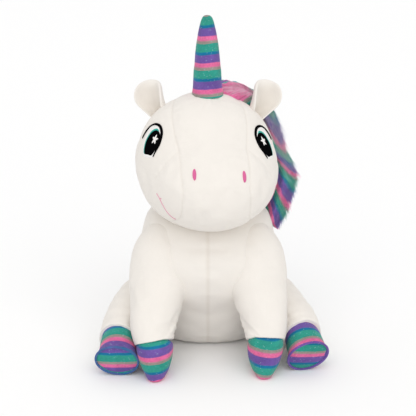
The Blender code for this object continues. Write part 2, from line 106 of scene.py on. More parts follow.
def turns(columns):
    """Evenly spaced angles round a ring, in radians."""
    return np.arange(columns) * 2 * math.pi / columns


def ease(x, low, high):
    """0 below low, 1 above high, and a smooth step between."""
    t = np.clip((x - low) / (high - low), 0, 1)
    return t * t * (3 - 2 * t)


def lumps(points, size, seed):
    """Smooth noise from -1 to 1: random values on a lattice of this size, eased between them."""
    table = np.random.RandomState(seed).uniform(-1, 1, (16, 16, 16))
    p = points / size + 100.0
    base = np.floor(p).astype(int)
    f = p - base
    f = f * f * (3 - 2 * f)
    total = np.zeros(points.shape[:-1])
    for corner in np.ndindex(2, 2, 2):
        weight = np.prod(np.where(corner, f, 1 - f), axis=-1)
        i, j, k = ((base[..., n] + corner[n]) % 16 for n in range(3))
        total += weight * table[i, j, k]
    return total


def polyline_distance(points, line):
    """Distance from each point to a line through the given places, and how far along it is."""
    line = np.asarray(line, float)
    best = np.full(points.shape[:-1], 1e9)
    along = np.zeros(points.shape[:-1])
    travelled = 0.0
    for start, end in zip(line[:-1], line[1:]):
        step = end - start
        length = np.linalg.norm(step)
        t = np.clip(((points - start) @ step) / length**2, 0, 1)
        away = np.linalg.norm(points - start - t[..., None] * step, axis=-1)
        nearer = away < best
        best = np.where(nearer, away, best)
        along = np.where(nearer, travelled + t * length, along)
        travelled += length
    return best, along


def curve_through(places, count=60):
    """Points evenly spaced in the parameter of a smooth curve through the places."""
    return spline(places, np.linspace(0, 1, count))


def grid_normals(grid):
    """Outward unit normals of a closed grid: rings down the first axis, round each ring the second."""
    along = np.gradient(grid, axis=0)
    around = np.roll(grid, -1, 1) - np.roll(grid, 1, 1)
    normal = np.cross(around, along)
    outward = grid - grid.mean(axis=1, keepdims=True)
    if (normal * outward).sum() < 0:
        normal = -normal
    normal = unit(normal)
    for end, beside in ((0, 1), (-1, -2)):
        normal[end] = unit(normal[beside].mean(axis=0))
    return normal


def puffed(grid, rise):
    """The grid moved outwards along its normals by this rise at each point."""
    return grid + rise[..., None] * grid_normals(grid)


def raise_to(grid, low):
    """Points under this height are brought up to it, in place."""
    grid[..., 2] = np.maximum(grid[..., 2], low)


def loft(rows, steps, caps, squareness=2.0, level=False, flat_start=False):
    """Rings carried along a path, closed by domes at the ends.

    A row is x, y, z, half width, half depth and twist in degrees. At s the ring is the centre plus
    half width times a rounded sine across and half depth times a rounded cosine to the front;
    squareness 2 gives an ellipse and more gives fuller corners. Over each cap's share of the length
    the ring shrinks like a dome.
    """
    table = np.zeros((len(rows), 6))
    for index, row in enumerate(rows):
        table[index, : len(row)] = row
    rings, columns = steps
    s = 0.5 - 0.5 * np.cos(np.linspace(0, math.pi, rings))
    row = spline(table, s)
    size = np.ones(rings)
    if caps[0]:
        power = 5 if flat_start else 2
        size *= np.clip(1 - np.clip(1 - s / caps[0], 0, 1) ** power, 0, 1) ** (1 / power)
    if caps[1]:
        size *= np.sqrt(np.clip(1 - np.clip((s - 1) / caps[1] + 1, 0, 1) ** 2, 0, 1))
    across = np.tile(np.array((1.0, 0, 0)), (rings, 1))
    front = np.tile(np.array((0, -1.0, 0)), (rings, 1))
    if not level:
        path = unit(np.gradient(spline(table[:, :3], s), axis=0))
        across = unit(across - (across * path).sum(-1, keepdims=True) * path)
        front = np.cross(path, across)
    angle = turns(columns)
    sine, cosine = (
        np.sign(w) * np.abs(w) ** (2 / squareness) for w in (np.sin(angle), np.cos(angle))
    )
    wide = (row[:, 3] * size)[:, None] * sine
    deep = (row[:, 4] * size)[:, None] * cosine
    twist = np.radians(row[:, 5])[:, None]
    turned_wide = wide * np.cos(twist) - deep * np.sin(twist)
    turned_deep = wide * np.sin(twist) + deep * np.cos(twist)
    sideways = turned_wide[..., None] * across[:, None]
    forwards = turned_deep[..., None] * front[:, None]
    return row[:, None, :3] + sideways + forwards


def head_field(q):
    """Above 1 inside the head: the balls' softened closeness, added up."""
    total = np.zeros(q.shape[:-1])
    for centre, half in HEAD_BALLS:
        reach = np.linalg.norm((q - np.array(centre)) / np.array(half), axis=-1)
        total += np.exp(-MELT * (reach - 1))
    return total


def on_head(directions):
    """Where rays from the head's middle leave the head, found by halving, in the head's frame."""
    low = np.zeros(directions.shape[:-1])
    high = np.full(directions.shape[:-1], 140.0)
    for _ in range(32):
        middle = (low + high) / 2
        inside = head_field(HEAD_CENTRE + directions * middle[..., None]) > 1
        low = np.where(inside, middle, low)
        high = np.where(inside, high, middle)
    return HEAD_CENTRE + directions * low[..., None]


def head_normal(q):
    """Outward unit normal of the head at q: downhill in the field."""
    slope = np.stack([head_field(q + e) - head_field(q - e) for e in np.eye(3) * 0.5], axis=-1)
    return -unit(slope)


def head_place(azimuth, height):
    """The head's surface where it is this many degrees round from the front, at this height."""
    azimuth = np.radians(np.asarray(azimuth, float))
    height = np.asarray(height, float)
    flat = np.full(azimuth.shape, 60.0)
    for _ in range(12):
        d = np.stack([np.sin(azimuth) * flat, -np.cos(azimuth) * flat, height - HEAD_CENTRE[2]], -1)
        found = on_head(unit(d)) - HEAD_CENTRE
        flat = np.hypot(found[..., 0], found[..., 1]) * (height - HEAD_CENTRE[2] + 1e-6) / (
            found[..., 2] + 1e-6
        )
        flat = np.clip(flat, 1, 200)
    return found + HEAD_CENTRE


def head_to_frame(q):
    """From the head's own frame to the toy's, both in millimetres."""
    c, s = math.cos(HEAD_TURN), math.sin(HEAD_TURN)
    turn = np.array(((c, -s, 0), (s, c, 0), (0, 0, 1)))
    return q @ turn.T + HEAD_AXIS


# ---------------------------------------------------------------- meshes

def mesh_piece(name, points, faces, materials, face_material=None, values=None):
    """A smooth mesh piece from points in millimetres, with named values on its points."""
    mesh = bpy.data.meshes.new(name)
    mesh.from_pydata((np.asarray(points) * MM).tolist(), [], faces)
    for made in materials:
        mesh.materials.append(made)
    if face_material is not None:
        mesh.polygons.foreach_set("material_index", np.asarray(face_material, np.int32))
    for key, value in (values or {}).items():
        layer = mesh.attributes.new(key, "FLOAT", "POINT")
        layer.data.foreach_set("value", np.asarray(value, np.float32).ravel())
    mesh.shade_smooth()
    mesh.update()
    piece = bpy.data.objects.new(name, mesh)
    bpy.context.scene.collection.objects.link(piece)
    return piece


def ring_faces(rows, columns, first=1):
    """Quads between rings of vertices that are stored ring after ring."""
    i = np.arange(rows - 1)[:, None] * columns
    j = np.arange(columns)[None]
    k = (j + 1) % columns
    quads = np.stack([i + j, i + k, i + columns + k, i + columns + j], axis=-1)
    return quads.reshape(-1, 4) + first


def closed_faces(rows, columns):
    """Faces of rings between two poles: fans at the ends, quads between."""
    last = 1 + rows * columns
    j = np.arange(columns)
    k = (j + 1) % columns
    top = np.stack([np.zeros_like(j), 1 + k, 1 + j], axis=-1)
    start = 1 + (rows - 1) * columns
    bottom = np.stack([np.full_like(j, last), start + j, start + k], axis=-1)
    return top.tolist() + ring_faces(rows, columns).tolist() + bottom.tolist()


def skin(name, grid, materials, values=None):
    """A closed skin from a grid of rings whose first and last ring close to a point."""
    points = np.vstack([grid[0].mean(0)[None], grid[1:-1].reshape(-1, 3), grid[-1].mean(0)[None]])
    rows, columns = grid.shape[0] - 2, grid.shape[1]
    faces = closed_faces(rows, columns)
    outward = grid_normals(grid)[1:-1].reshape(-1, 3)
    first = np.array(faces[columns])
    across = np.cross(points[first[1]] - points[first[0]], points[first[2]] - points[first[0]])
    if across @ outward[first[0] - 1] < 0:
        faces = [face[::-1] for face in faces]
    laid = {}
    for key, value in (values or {}).items():
        laid[key] = np.concatenate([[value[0].mean()], value[1:-1].ravel(), [value[-1].mean()]])
    return mesh_piece(name, points, faces, materials, None, laid)


def settled(grid, held, most):
    """What air pressure adds to a skin, as a displacement of its grid.

    A coarser copy of the grid becomes cloth, a little larger than it was cut, held along its seams,
    and is blown up step by step. How far each point moved, no more than most, is spread over
    the fine grid in straight lines between the coarse ones.
    """
    rings, columns = grid.shape[:2]
    row_step, column_step = max(1, rings // CLOTH_GRID[0]), max(1, columns // CLOTH_GRID[1])
    row_picks = np.unique(np.r_[np.arange(0, rings, row_step), rings - 1])
    column_picks = np.arange(0, columns, column_step)
    coarse = grid[row_picks][:, column_picks]
    pins = held[row_picks][:, column_picks]
    temporary = skin("cloth", coarse, [])
    weights = np.concatenate([[pins[0].max()], pins[1:-1].ravel(), [pins[-1].max()]])
    group = temporary.vertex_groups.new(name="held")
    for level in np.linspace(0.1, 1, 10):
        chosen = np.where(np.abs(weights - level) < 0.05001)[0]
        group.add(chosen.tolist(), float(level), "REPLACE")
    cloth = temporary.modifiers.new("cloth", "CLOTH")
    settings = cloth.settings
    settings.use_pressure = True
    settings.uniform_pressure_force = CLOTH_PRESSURE
    settings.vertex_group_mass = "held"
    settings.effector_weights.gravity = 0
    settings.shrink_min = -0.035
    settings.quality = 6
    settings.tension_stiffness = settings.compression_stiffness = 12
    settings.bending_stiffness = 0.4
    settings.air_damping = 3
    for step in range(1, CLOTH_STEPS + 1):
        bpy.context.scene.frame_set(step)
    graph = bpy.context.evaluated_depsgraph_get()
    result = temporary.evaluated_get(graph).to_mesh()
    after = np.empty(len(result.vertices) * 3)
    result.vertices.foreach_get("co", after)
    after = after.reshape(-1, 3) / MM
    bpy.context.scene.frame_set(1)
    bpy.data.objects.remove(temporary)
    inner = after[1:-1].reshape(len(row_picks) - 2, len(column_picks), 3)
    ends = [np.broadcast_to(after[n], (1, len(column_picks), 3)) for n in (0, -1)]
    moved = np.concatenate([ends[0], inner, ends[1]]) - coarse
    length = np.linalg.norm(moved, axis=-1, keepdims=True)
    moved *= np.minimum(1, most / np.maximum(length, 1e-9))
    by_row = np.empty((rings, len(column_picks), 3))
    spread = np.empty_like(grid)
    for axis in range(3):
        for column in range(len(column_picks)):
            by_row[:, column, axis] = np.interp(np.arange(rings), row_picks, moved[:, column, axis])
        for ring in range(rings):
            spread[ring, :, axis] = np.interp(
                np.arange(columns), column_picks, by_row[ring, :, axis], period=columns
            )
    for _ in range(max(row_step, column_step)):
        spread = (np.roll(spread, 1, 1) + 2 * spread + np.roll(spread, -1, 1)) / 4
        spread[1:-1] = (spread[:-2] + 2 * spread[1:-1] + spread[2:]) / 4
    return spread


# ---------------------------------------------------------------- materials

def group_socket(group, name, way, kind, value=None):
    """A named input or output of a node group, with its usual value."""
    made = group.interface.new_socket(name=name, in_out=way, socket_type=kind)
    if value is not None:
        made.default_value = value


def feed(tree, entry, value):
    """An input takes another node's output, or a plain value."""
    if isinstance(value, bpy.types.NodeSocket):
        tree.links.new(value, entry)
    else:
        entry.default_value = value


def add_node(tree, kind, **values):
    """A node with its properties, and its inputs fed by name."""
    made = tree.nodes.new(kind)
    for key, value in values.items():
        if hasattr(made, key):
            setattr(made, key, value)
        else:
            feed(tree, made.inputs[key.replace("_", " ")], value)
    return made


def worked_out(tree, operation, *entries):
    """The output of a Math node whose inputs are fed in order."""
    made = add_node(tree, "ShaderNodeMath", operation=operation)
    for socket, value in zip(made.inputs, entries):
        feed(tree, socket, value)
    return made.outputs[0]


def mixed_colour(tree, share, first, second):
    """The first colour where the share is 0, the second where it is 1."""
    made = add_node(tree, "ShaderNodeMix", data_type="RGBA")
    for socket, value in ((0, share), (6, first), (7, second)):
        feed(tree, made.inputs[socket], value)
    return made.outputs[2]


def nap_group():
    """Shared by every plush: a colour with faint lighter and darker patches, and the pile's height."""
    group = bpy.data.node_groups.new("nap", "ShaderNodeTree")
    group_socket(group, "Color", "INPUT", "NodeSocketColor", (1, 1, 1, 1))
    group_socket(group, "Patches", "INPUT", "NodeSocketFloat", 0.06)
    group_socket(group, "Pile Size", "INPUT", "NodeSocketFloat", 900.0)
    group_socket(group, "Color", "OUTPUT", "NodeSocketColor")
    group_socket(group, "Height", "OUTPUT", "NodeSocketFloat")
    start = group.nodes.new("NodeGroupInput")
    end = group.nodes.new("NodeGroupOutput")
    place = group.nodes.new("ShaderNodeTexCoord").outputs["Object"]
    patches = add_node(
        group, "ShaderNodeTexNoise", Vector=place, Scale=70.0, Detail=4.0, Roughness=0.6
    ).outputs["Fac"]
    pile = add_node(
        group, "ShaderNodeTexNoise", Vector=place, Scale=start.outputs["Pile Size"], Detail=3.0, Roughness=0.7
    ).outputs["Fac"]
    centred = worked_out(group, "SUBTRACT", worked_out(group, "ADD", patches, pile), 1.0)
    scaled = worked_out(group, "MULTIPLY_ADD", centred, start.outputs["Patches"], 1.0)
    tint = add_node(group, "ShaderNodeHueSaturation", Color=start.outputs["Color"], Value=scaled)
    feed(group, end.inputs["Color"], tint.outputs["Color"])
    feed(group, end.inputs["Height"], pile)
    return group


FLECK_REACH = 0.32  # a fleck's half width as a share of its cell


def glitter_group():
    """Shared by the striped pieces: 1 on small scattered flecks, 0 elsewhere."""
    group = bpy.data.node_groups.new("glitter", "ShaderNodeTree")
    group_socket(group, "Spacing", "INPUT", "NodeSocketFloat", 1100.0)
    group_socket(group, "Rarity", "INPUT", "NodeSocketFloat", 0.95)
    group_socket(group, "Fleck", "OUTPUT", "NodeSocketFloat")
    start = group.nodes.new("NodeGroupInput")
    end = group.nodes.new("NodeGroupOutput")
    place = group.nodes.new("ShaderNodeTexCoord").outputs["Object"]
    cells = add_node(group, "ShaderNodeTexVoronoi", Vector=place, Scale=start.outputs["Spacing"])
    near = worked_out(group, "LESS_THAN", cells.outputs["Distance"], FLECK_REACH)
    parts = add_node(group, "ShaderNodeSeparateColor", Color=cells.outputs["Color"])
    chosen = worked_out(group, "GREATER_THAN", parts.outputs[0], start.outputs["Rarity"])
    feed(group, end.inputs["Fleck"], worked_out(group, "MULTIPLY", near, chosen))
    return group


def new_material(name, roughness, sheen=0.0):
    """A matt cloth finish: the material, its node tree and its shader."""
    made = bpy.data.materials.new(name)
    made.use_nodes = True
    shader = made.node_tree.nodes["Principled BSDF"]
    shader.inputs["Roughness"].default_value = roughness
    shader.inputs["Sheen Weight"].default_value = sheen
    shader.inputs["Sheen Roughness"].default_value = 0.45
    shader.inputs["Specular IOR Level"].default_value = 0.12
    return made, made.node_tree, shader


def pile_bump(tree, shader, height, strength, depth):
    """Raises the surface by this height, up to depth metres."""
    bump = add_node(tree, "ShaderNodeBump", Strength=strength, Distance=depth, Height=height)
    feed(tree, shader.inputs["Normal"], bump.outputs["Normal"])


def napped(tree, nap, colour, patches, pile_size):
    """The shared nap over this colour: its tinted colour and its height."""
    pile = add_node(tree, "ShaderNodeGroup", node_tree=nap)
    for name, value in (("Patches", patches), ("Pile Size", pile_size), ("Color", colour)):
        feed(tree, pile.inputs[name], value)
    return pile.outputs["Color"], pile.outputs["Height"]


def white_plush(nap):
    """Short white pile with painted shade: a little darker and warmer down in its seams and in the ears'
    hollows.
    """
    made, tree, shader = new_material("white_plush", 0.92, 0.22)
    seam_and_hollow_shade = add_node(tree, "ShaderNodeAttribute", attribute_name="seam_and_hollow_shade")
    base = mixed_colour(tree, seam_and_hollow_shade.outputs["Fac"], WHITE_PLUSH, SEAM_SHADE)
    colour, height = napped(tree, nap, base, 0.05, 1100.0)
    feed(tree, shader.inputs["Base Color"], colour)
    pile_bump(tree, shader, height, 0.35, 0.0009)
    return made


STRIPES = (  # where each colour starts and ends in one repeat, from 0 to 1
    (0.01, GREEN), (0.29, GREEN), (0.33, BLUE), (0.40, BLUE), (0.44, PURPLE), (0.71, PURPLE),
    (0.735, PINK), (0.85, PINK), (0.92, GREY), (0.965, GREY),
)
STRIPE_SWAY = 0.07  # how far the stripes' edges wander, in repeats
# The glitter's flecks are real, and their sparkle is painted into the colour as this pale tone: a painted
# glint
FLECK_GLINT_COLOUR = (0.42, 0.55, 0.62, 1)


def striped_plush(nap, glitter):
    """Short pile in soft-edged stripes that repeat along the piece's own band value."""
    made, tree, shader = new_material("striped_plush", 0.75, 0.15)
    band = add_node(tree, "ShaderNodeAttribute", attribute_name="band")
    place = tree.nodes.new("ShaderNodeTexCoord").outputs["Object"]
    sway = add_node(tree, "ShaderNodeTexNoise", Vector=place, Scale=90.0, Detail=5.0, Roughness=0.7)
    swayed = worked_out(tree, "MULTIPLY_ADD", sway.outputs["Fac"], STRIPE_SWAY, band.outputs["Fac"])
    ramp = tree.nodes.new("ShaderNodeValToRGB")
    stops = ramp.color_ramp.elements
    while len(stops) > 1:
        stops.remove(stops[-1])
    stops[0].position, stops[0].color = STRIPES[0]
    for position, colour in STRIPES[1:]:
        stops.new(position).color = colour
    feed(tree, ramp.inputs["Fac"], worked_out(tree, "FRACT", swayed))
    colour, height = napped(tree, nap, ramp.outputs["Color"], 0.75, 800.0)
    flecks = add_node(tree, "ShaderNodeGroup", node_tree=glitter)
    # Real glitter flecks, with their sparkle painted in as a pale colour: painted glints
    glittering = mixed_colour(tree, flecks.outputs["Fleck"], colour, FLECK_GLINT_COLOUR)
    feed(tree, shader.inputs["Base Color"], glittering)
    pile_bump(tree, shader, height, 0.6, 0.0012)
    return made


def thread_material(name, colour, shine=0.12):
    """Satin stitches: the colour with painted shade and highlight across fine threads side by side, darker in
    the grooves between them and lighter on their raised crowns.
    """
    made, tree, shader = new_material(name, 0.5)
    shader.inputs["Specular IOR Level"].default_value = shine
    place = tree.nodes.new("ShaderNodeTexCoord").outputs["Object"]
    stitches = add_node(
        tree, "ShaderNodeTexWave", bands_direction="Z", Vector=place, Scale=420.0, Distortion=2.0, Detail=1.0
    ).outputs["Fac"]
    # Painted shade and painted highlight: shaded and lit copies of the thread's colour follow the stitches'
    # bump
    dark = tuple(c * 0.82 for c in colour[:3]) + (1,)
    light = tuple(min(1, c * 1.1) for c in colour[:3]) + (1,)
    feed(tree, shader.inputs["Base Color"], mixed_colour(tree, stitches, dark, light))
    pile_bump(tree, shader, stitches, 0.4, 0.0004)
    return made


def strand_material(name, colour):
    """One plain colour of pile, because a single hair is too thin to show a pattern."""
    made, _tree, shader = new_material(name, 0.55, 0.3)
    shader.inputs["Base Color"].default_value = colour
    return made


def paler(colour, share):
    """The colour moved this share of the way to a near white."""
    return tuple(c + (PALEST - c) * share for c in colour[:3]) + (1,)


PALEST = 0.86
NAP = nap_group()
GLITTER = glitter_group()
PLUSH = white_plush(NAP)
STRIPED = striped_plush(NAP, GLITTER)
BLACK = thread_material("black_thread", BLACK_THREAD, 0.0)
WHITE = thread_material("white_thread", WHITE_THREAD)
TEAL = thread_material("teal_thread", TEAL_THREAD)
ROSE = thread_material("pink_thread", EMBROIDERY_PINK)
PALE_ROSE = thread_material("pale_pink_thread", (0.78, 0.33, 0.46, 1))


def finished(piece, body, replaced):
    """What every piece needs: its body and the nodes it stands for."""
    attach(piece, body)
    if replaced:
        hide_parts(*replaced)
    return piece


# ---------------------------------------------------------------- head

FACE_SEAM = (  # points near the seam between face and cheek on the left side, in the head's frame
    (33, 14, 276), (35.5, -12, 265), (35.8, -44, 240), (33, -58, 225), (32.4, -72, 208), (32, -78, 194),
    (33, -75, 177), (34, -64, 164.5), (42, -36, 150),
)
CHEEK_CREASE = (
    (34.5, -54, 228.5), (42, -55, 222.5), (48.5, -54, 215.5), (52.5, -53, 208.5), (57, -49, 201),
)
SIDE_SEAM = ((70, -4, 262), (80, -4, 235), (80, -4, 205), (76, -4, 180), (56, -4, 158))
BACK_SEAM = ((1, 40, 270), (1, 60, 240), (1, 60, 205), (1, 50, 175), (1, 30, 158))


def dropped(places):
    """A smooth curve through the places, moved onto the head along rays from its middle."""
    return on_head(unit(curve_through(places, 60) - HEAD_CENTRE))


def head_lines():
    """The head's seams and creases as (places, width, depth): curves on its surface."""
    lines = [(dropped(np.array(BACK_SEAM, float)), SEAM_WIDTH, SEAM_DEPTH)]
    for side, _half in SIDES:
        flip = np.array((side, 1.0, 1.0))
        lines.append((dropped(flip * FACE_SEAM), SEAM_WIDTH, SEAM_DEPTH))
        lines.append((dropped(flip * CHEEK_CREASE), 2.4, 0.45))
        lines.append((dropped(flip * SIDE_SEAM), SEAM_WIDTH, SEAM_DEPTH))
    return lines


EYE_PLACE = {"left": (69.9, 232.1), "right": (-77.5, 234.8)}
NOSTRIL_PLACE = {"left": (22.4, 207.6), "right": (-18.8, 210.6)}
MOUTH_PLACE = {"left": (62, 172), "right": (-41, 172)}
# Places that the padding leaves flat under the embroidery, and how wide
STITCHED = [(*place, 24) for place in EYE_PLACE.values()]
STITCHED += [(*place, 8) for place in NOSTRIL_PLACE.values()]
STITCHED += [(*place, 17) for place in MOUTH_PLACE.values()]


def make_head():
    """The head's skin: rays from its middle, one for each step of polar angle and azimuth."""
    rings, columns = 210, 320
    polar = np.linspace(0, math.pi, rings)[:, None]
    azimuth = turns(columns)[None]
    upwards = np.broadcast_to(np.cos(polar), (rings, columns))
    rays = [np.sin(polar) * np.sin(azimuth), -np.sin(polar) * np.cos(azimuth), upwards]
    grid = on_head(np.stack(rays, -1))
    dent = np.zeros(grid.shape[:2])
    shade = np.zeros(grid.shape[:2])
    for line, width, depth in head_lines():
        away, along = polyline_distance(grid, line)
        sag = depth * (1 + 0.25 * np.sin(along * 0.9))
        dent += sag * bell(away, width) + 0.2 * bell(away, 9.0)
        shade = np.maximum(shade, bell(away, 0.9) * min(1.0, depth))
    free = np.ones(grid.shape[:2])
    for azimuth, height, reach in STITCHED:
        away = np.linalg.norm(grid - head_place(azimuth, height), axis=-1)
        free *= ease(away, reach, reach + 12)
    held = np.clip(np.round(np.maximum(dent / SEAM_DEPTH, 1 - free), 1), 0, 1)
    grid = grid + settled(head_to_frame(grid), held, 1.6) * (0.7 * free)[..., None]
    waves = free * (0.35 * lumps(grid, 26.0, 3) + 0.12 * lumps(grid, 9.0, 4))
    grid = puffed(grid, waves - dent)
    piece = skin("head_skin", head_to_frame(grid), [PLUSH], {"seam_and_hollow_shade": 0.22 * shade})
    panels = ["face_panel", "chin_panel", "head_stuffing"]
    panels += [f"{kind}_panel_{half}" for kind in ("cheek", "head_back") for half in ("left", "right")]
    finished(piece, "head", panels)


# ---------------------------------------------------------------- embroidery on the face

def patch_frame(azimuth, height):
    """The middle of a patch on the head with unit vectors inwards to the face and up, and its side."""
    middle = head_place(azimuth, height)
    normal = head_normal(middle)
    up = unit(np.array((0, 0, 1.0)) - normal[2] * normal)
    inward = np.cross(normal, up) * np.sign(azimuth)
    return middle, inward, up


def on_patch(frame_of_patch, a, b, lift):
    """Patch coordinates, in millimetres inwards and up, dropped onto the head and lifted off it."""
    middle, inward, up = frame_of_patch
    flat = middle + a[..., None] * inward + b[..., None] * up
    q = on_head(unit(flat - HEAD_CENTRE))
    return head_to_frame(q + head_normal(q) * lift[..., None])


def closed_outline(places, count=96):
    """A smooth closed curve through the places."""
    ring = np.array(places + places[:1], float)
    padded_ring = np.vstack([ring[-2], ring, ring[1]])
    s = (1 + np.arange(count) / count * (len(ring) - 1)) / (len(padded_ring) - 1)
    return spline(padded_ring, s)


def thread_pad(name, where, outline, height, material, replaced=None):
    """A stitched area: rings shrink from its outline to its middle on top, and back underneath."""
    outline = np.asarray(outline)
    middle = outline.mean(axis=0)
    shares = np.array([0.0, 0.15, 0.3, 0.45, 0.6, 0.75, 0.88, 0.95, 0.985, 1.0])
    lifts = height * (1 - shares**14) ** 0.5 - 0.25 * shares**30
    top = middle + shares[:, None, None] * (outline - middle)
    under = middle + shares[::-1, None, None] * (outline - middle)
    flat = np.concatenate([top, under[1:]])
    lift = np.concatenate([lifts, np.full(len(shares) - 1, -0.5)])
    lift = np.broadcast_to(lift[:, None], flat.shape[:2])
    grid = on_patch(where, flat[..., 0], flat[..., 1], lift)
    piece = skin(name, grid, [material])
    return finished(piece, "head", replaced)


def thread_line(name, where, places, widths, height, material, replaced=None):
    """A stitched line: a low rounded bar along a curve, its width taken from the widths given."""
    rings, columns = 80, 12
    s = np.linspace(0, 1, rings)
    path = spline(places, s)
    width = spline(np.array(widths, float)[:, None], s)[:, 0]
    step = unit(np.gradient(path, axis=0))
    side = np.stack([-step[:, 1], step[:, 0]], -1)
    angle = turns(columns)
    ends = np.sqrt(np.clip(1 - (2 * s - 1) ** 20, 0, 1))
    half = (width / 2 * ends)[:, None] * np.cos(angle)
    flat = path[:, None] + half[..., None] * side[:, None]
    lift = height * ends[:, None] * np.sin(angle)
    grid = on_patch(where, flat[..., 0], flat[..., 1], np.where(lift < 0, 0.5 * lift, lift))
    return finished(skin(name, grid, [material]), "head", replaced)


EYE_OUTLINE = [(8.6, -16.0), (10.9, -8), (11.8, -2.5), (10.6, 5.4), (7.9, 11.3), (2.0, 15.9), (-6.3, 16.6),
               (-13.5, 13.0), (-15.6, 5.0), (-14.8, -4.0), (-12.0, -12.5), (-8.6, -18.2), (0.0, -18.4)]
EYE_LINE = ((8.8, -16.2), (10.6, -9), (11.9, -2.5), (10.8, 5.4), (7.9, 11.4), (2.0, 16.1), (-6.3, 16.9),
            (-13.8, 13.2), (-18.5, 6.5), (-21.5, -1.0))
EYE_LINE_WIDTHS = (0.9, 1.5, 2.3, 2.8, 3.1, 3.2, 2.9, 2.2, 1.3, 0.5)
IRIS = [(6.8, -14.8), (10.2, -3), (9.2, 5.0), (6.4, 10.2), (0.8, 13.4), (-5.8, 10.0), (-9.3, 2.0),
        (-10.6, -6.0), (-8.0, -15.6), (0.0, -15.6)]
PUPIL = [(6.6, -15.0), (10.2, -8.0), (11.4, -2.5), (10.2, 5.0), (7.0, 9.6), (1.4, 11.8), (-4.2, 8.8),
         (-7.8, 1.6), (-9.0, -6.0), (-7.0, -15.2), (0.6, -15.6)]
STAR_AT = {"left": (2.9, 1.4), "right": (4.7, 1.4)}


def star_outline(centre):
    """A five-pointed star: the radius swings between its points and its notches ten times round."""
    turn = np.arange(100) / 10
    share = 1 - np.abs(turn % 2 - 1)
    radius = 5.8 - 3.8 * share
    angle = turn * math.pi / 5 + math.pi / 2
    across = centre[0] + 0.75 * radius * np.cos(angle)
    return np.stack([across, centre[1] + radius * np.sin(angle)], -1)


SMILE = (
    (56.2, -52, 188.6), (53.6, -54.5, 185.4), (52.0, -56, 181.5), (50.4, -56.5, 177.5), (48.1, -56.3, 173.2),
    (44.6, -55.2, 167.4), (40.5, -54.5, 162.7), (36.4, -56, 160.6),
)
SMILE_WIDTHS = (0.4, 0.7, 0.8, 0.7, 0.65, 0.6, 0.55, 0.3)
TICK = ((52.6, -55.5, 183.0), (51.2, -57, 184.0), (50.2, -58, 184.0))


def make_face():
    """Eyes, nostrils and mouth: stitched pads and lines, each a little higher than the one below."""
    for side, half in SIDES:
        where = patch_frame(*EYE_PLACE[half])
        thread_pad(f"eye_{half}_white", where, closed_outline(EYE_OUTLINE), 0.5, WHITE)
        thread_pad(f"eye_{half}_iris", where, closed_outline(IRIS), 0.75, TEAL)
        thread_pad(f"eye_{half}_pupil", where, closed_outline(PUPIL), 0.95, BLACK, [f"eye_{half}"])
        thread_line(f"eye_{half}_lid", where, EYE_LINE, EYE_LINE_WIDTHS, 1.25, BLACK)
        thread_pad(f"eye_{half}_star", where, star_outline(STAR_AT[half]), 1.25, WHITE)

        where = patch_frame(*NOSTRIL_PLACE[half])
        turn = np.arange(48) / 48 * 2 * math.pi  # round the oval
        oval = np.stack([1.9 * np.sin(turn), 5.8 * np.cos(turn)], -1)
        oval[:, 0] -= 0.17 * oval[:, 1]
        node = [f"nostril_{half}"]
        thread_pad(f"nostril_{half}_satin", where, oval, 0.9, ROSE, node)

        node = [f"mouth_{half}"]
        where = patch_frame(*MOUTH_PLACE[half])
        shift = head_place(*MOUTH_PLACE[half]) - head_place(side * 41, 172)
        for kind, places, widths in (("line", SMILE, SMILE_WIDTHS), ("tick", TICK, (0.5, 0.8, 0.4))):
            flat = np.array((side, 1.0, 1.0)) * places + shift - where[0]
            flat = np.stack([flat @ where[1], flat @ where[2]], -1)
            name = f"mouth_{half}_{kind}"
            thread_line(name, where, flat, widths, 0.5, PALE_ROSE, node)
            node = None


# ---------------------------------------------------------------- torso

TORSO_ROWS = (
    (0, 12, 0.0, 52, 49), (0, 8, 16, 63, 60), (0, 1, 46, 68, 67), (0, -11, 78, 70, 73),
    (0, -18, 106, 71.5, 71), (0, -17, 128, 68.5, 61), (0, -12, 148, 61, 46), (0, -10, 160, 51, 38),
)


def make_torso():
    """The body's skin: level rounded rings up a leaning line, flat underneath, domed at the neck."""
    grid = loft(TORSO_ROWS, (180, 300), (0.05, 0.22), 2.5, level=True, flat_start=True)
    raise_to(grid, 0.0)
    x, y, z = np.moveaxis(grid, -1, 0)
    sway = lumps(grid, 14.0, 5)
    middle_seam = (np.abs(x), 0.45)
    side_seams = (np.where(np.abs(x) > 30, np.abs(y - 2), 99), 0.5)
    dent = np.zeros(grid.shape[:2])
    for away, depth in (middle_seam, side_seams):
        away = away + 0.6 * sway
        dent += depth * bell(away, SEAM_WIDTH) + 0.15 * bell(away, 8.0)
    shade = bell(np.abs(x) + 0.3 * sway, 1.0)
    held = np.clip(np.round(dent, 1), 0, 1)
    held[z < 3] = 1
    grid = grid + settled(grid, held, 1.5) * 0.8
    waves = 0.5 * lumps(grid, 22.0, 7) + 0.15 * lumps(grid, 8.0, 8)
    grid = puffed(grid, (waves - dent) * ease(z, 0.5, 6))
    raise_to(grid, 0.0)
    piece = skin("torso_skin", grid, [PLUSH], {"seam_and_hollow_shade": 0.28 * shade})
    nodes = [f"{kind}_panel_{half}" for kind in ("chest", "back") for half in ("left", "right")]
    nodes += ["seat_panel", "bean_bag", "torso_stuffing"]
    finished(piece, "torso", nodes)


def make_neck():
    """The neck's skin: level rings up a short column, most of it inside the head and the body."""
    rows = ((0, -14, 126, 30, 28), (0, -14, 138, 36, 32), (0, -14, 149, 38, 34), (0, -14, 162, 34, 30),
            (0, -14, 172, 28, 26))
    grid = loft(rows, (40, 80), (0.3, 0.3), level=True)
    grid = puffed(grid, 0.5 * lumps(grid, 12.0, 31))
    piece = skin("neck_skin", grid, [PLUSH], {"seam_and_hollow_shade": np.zeros(grid.shape[:2])})
    finished(piece, "neck", ["neck_stuffing"])


# ---------------------------------------------------------------- legs

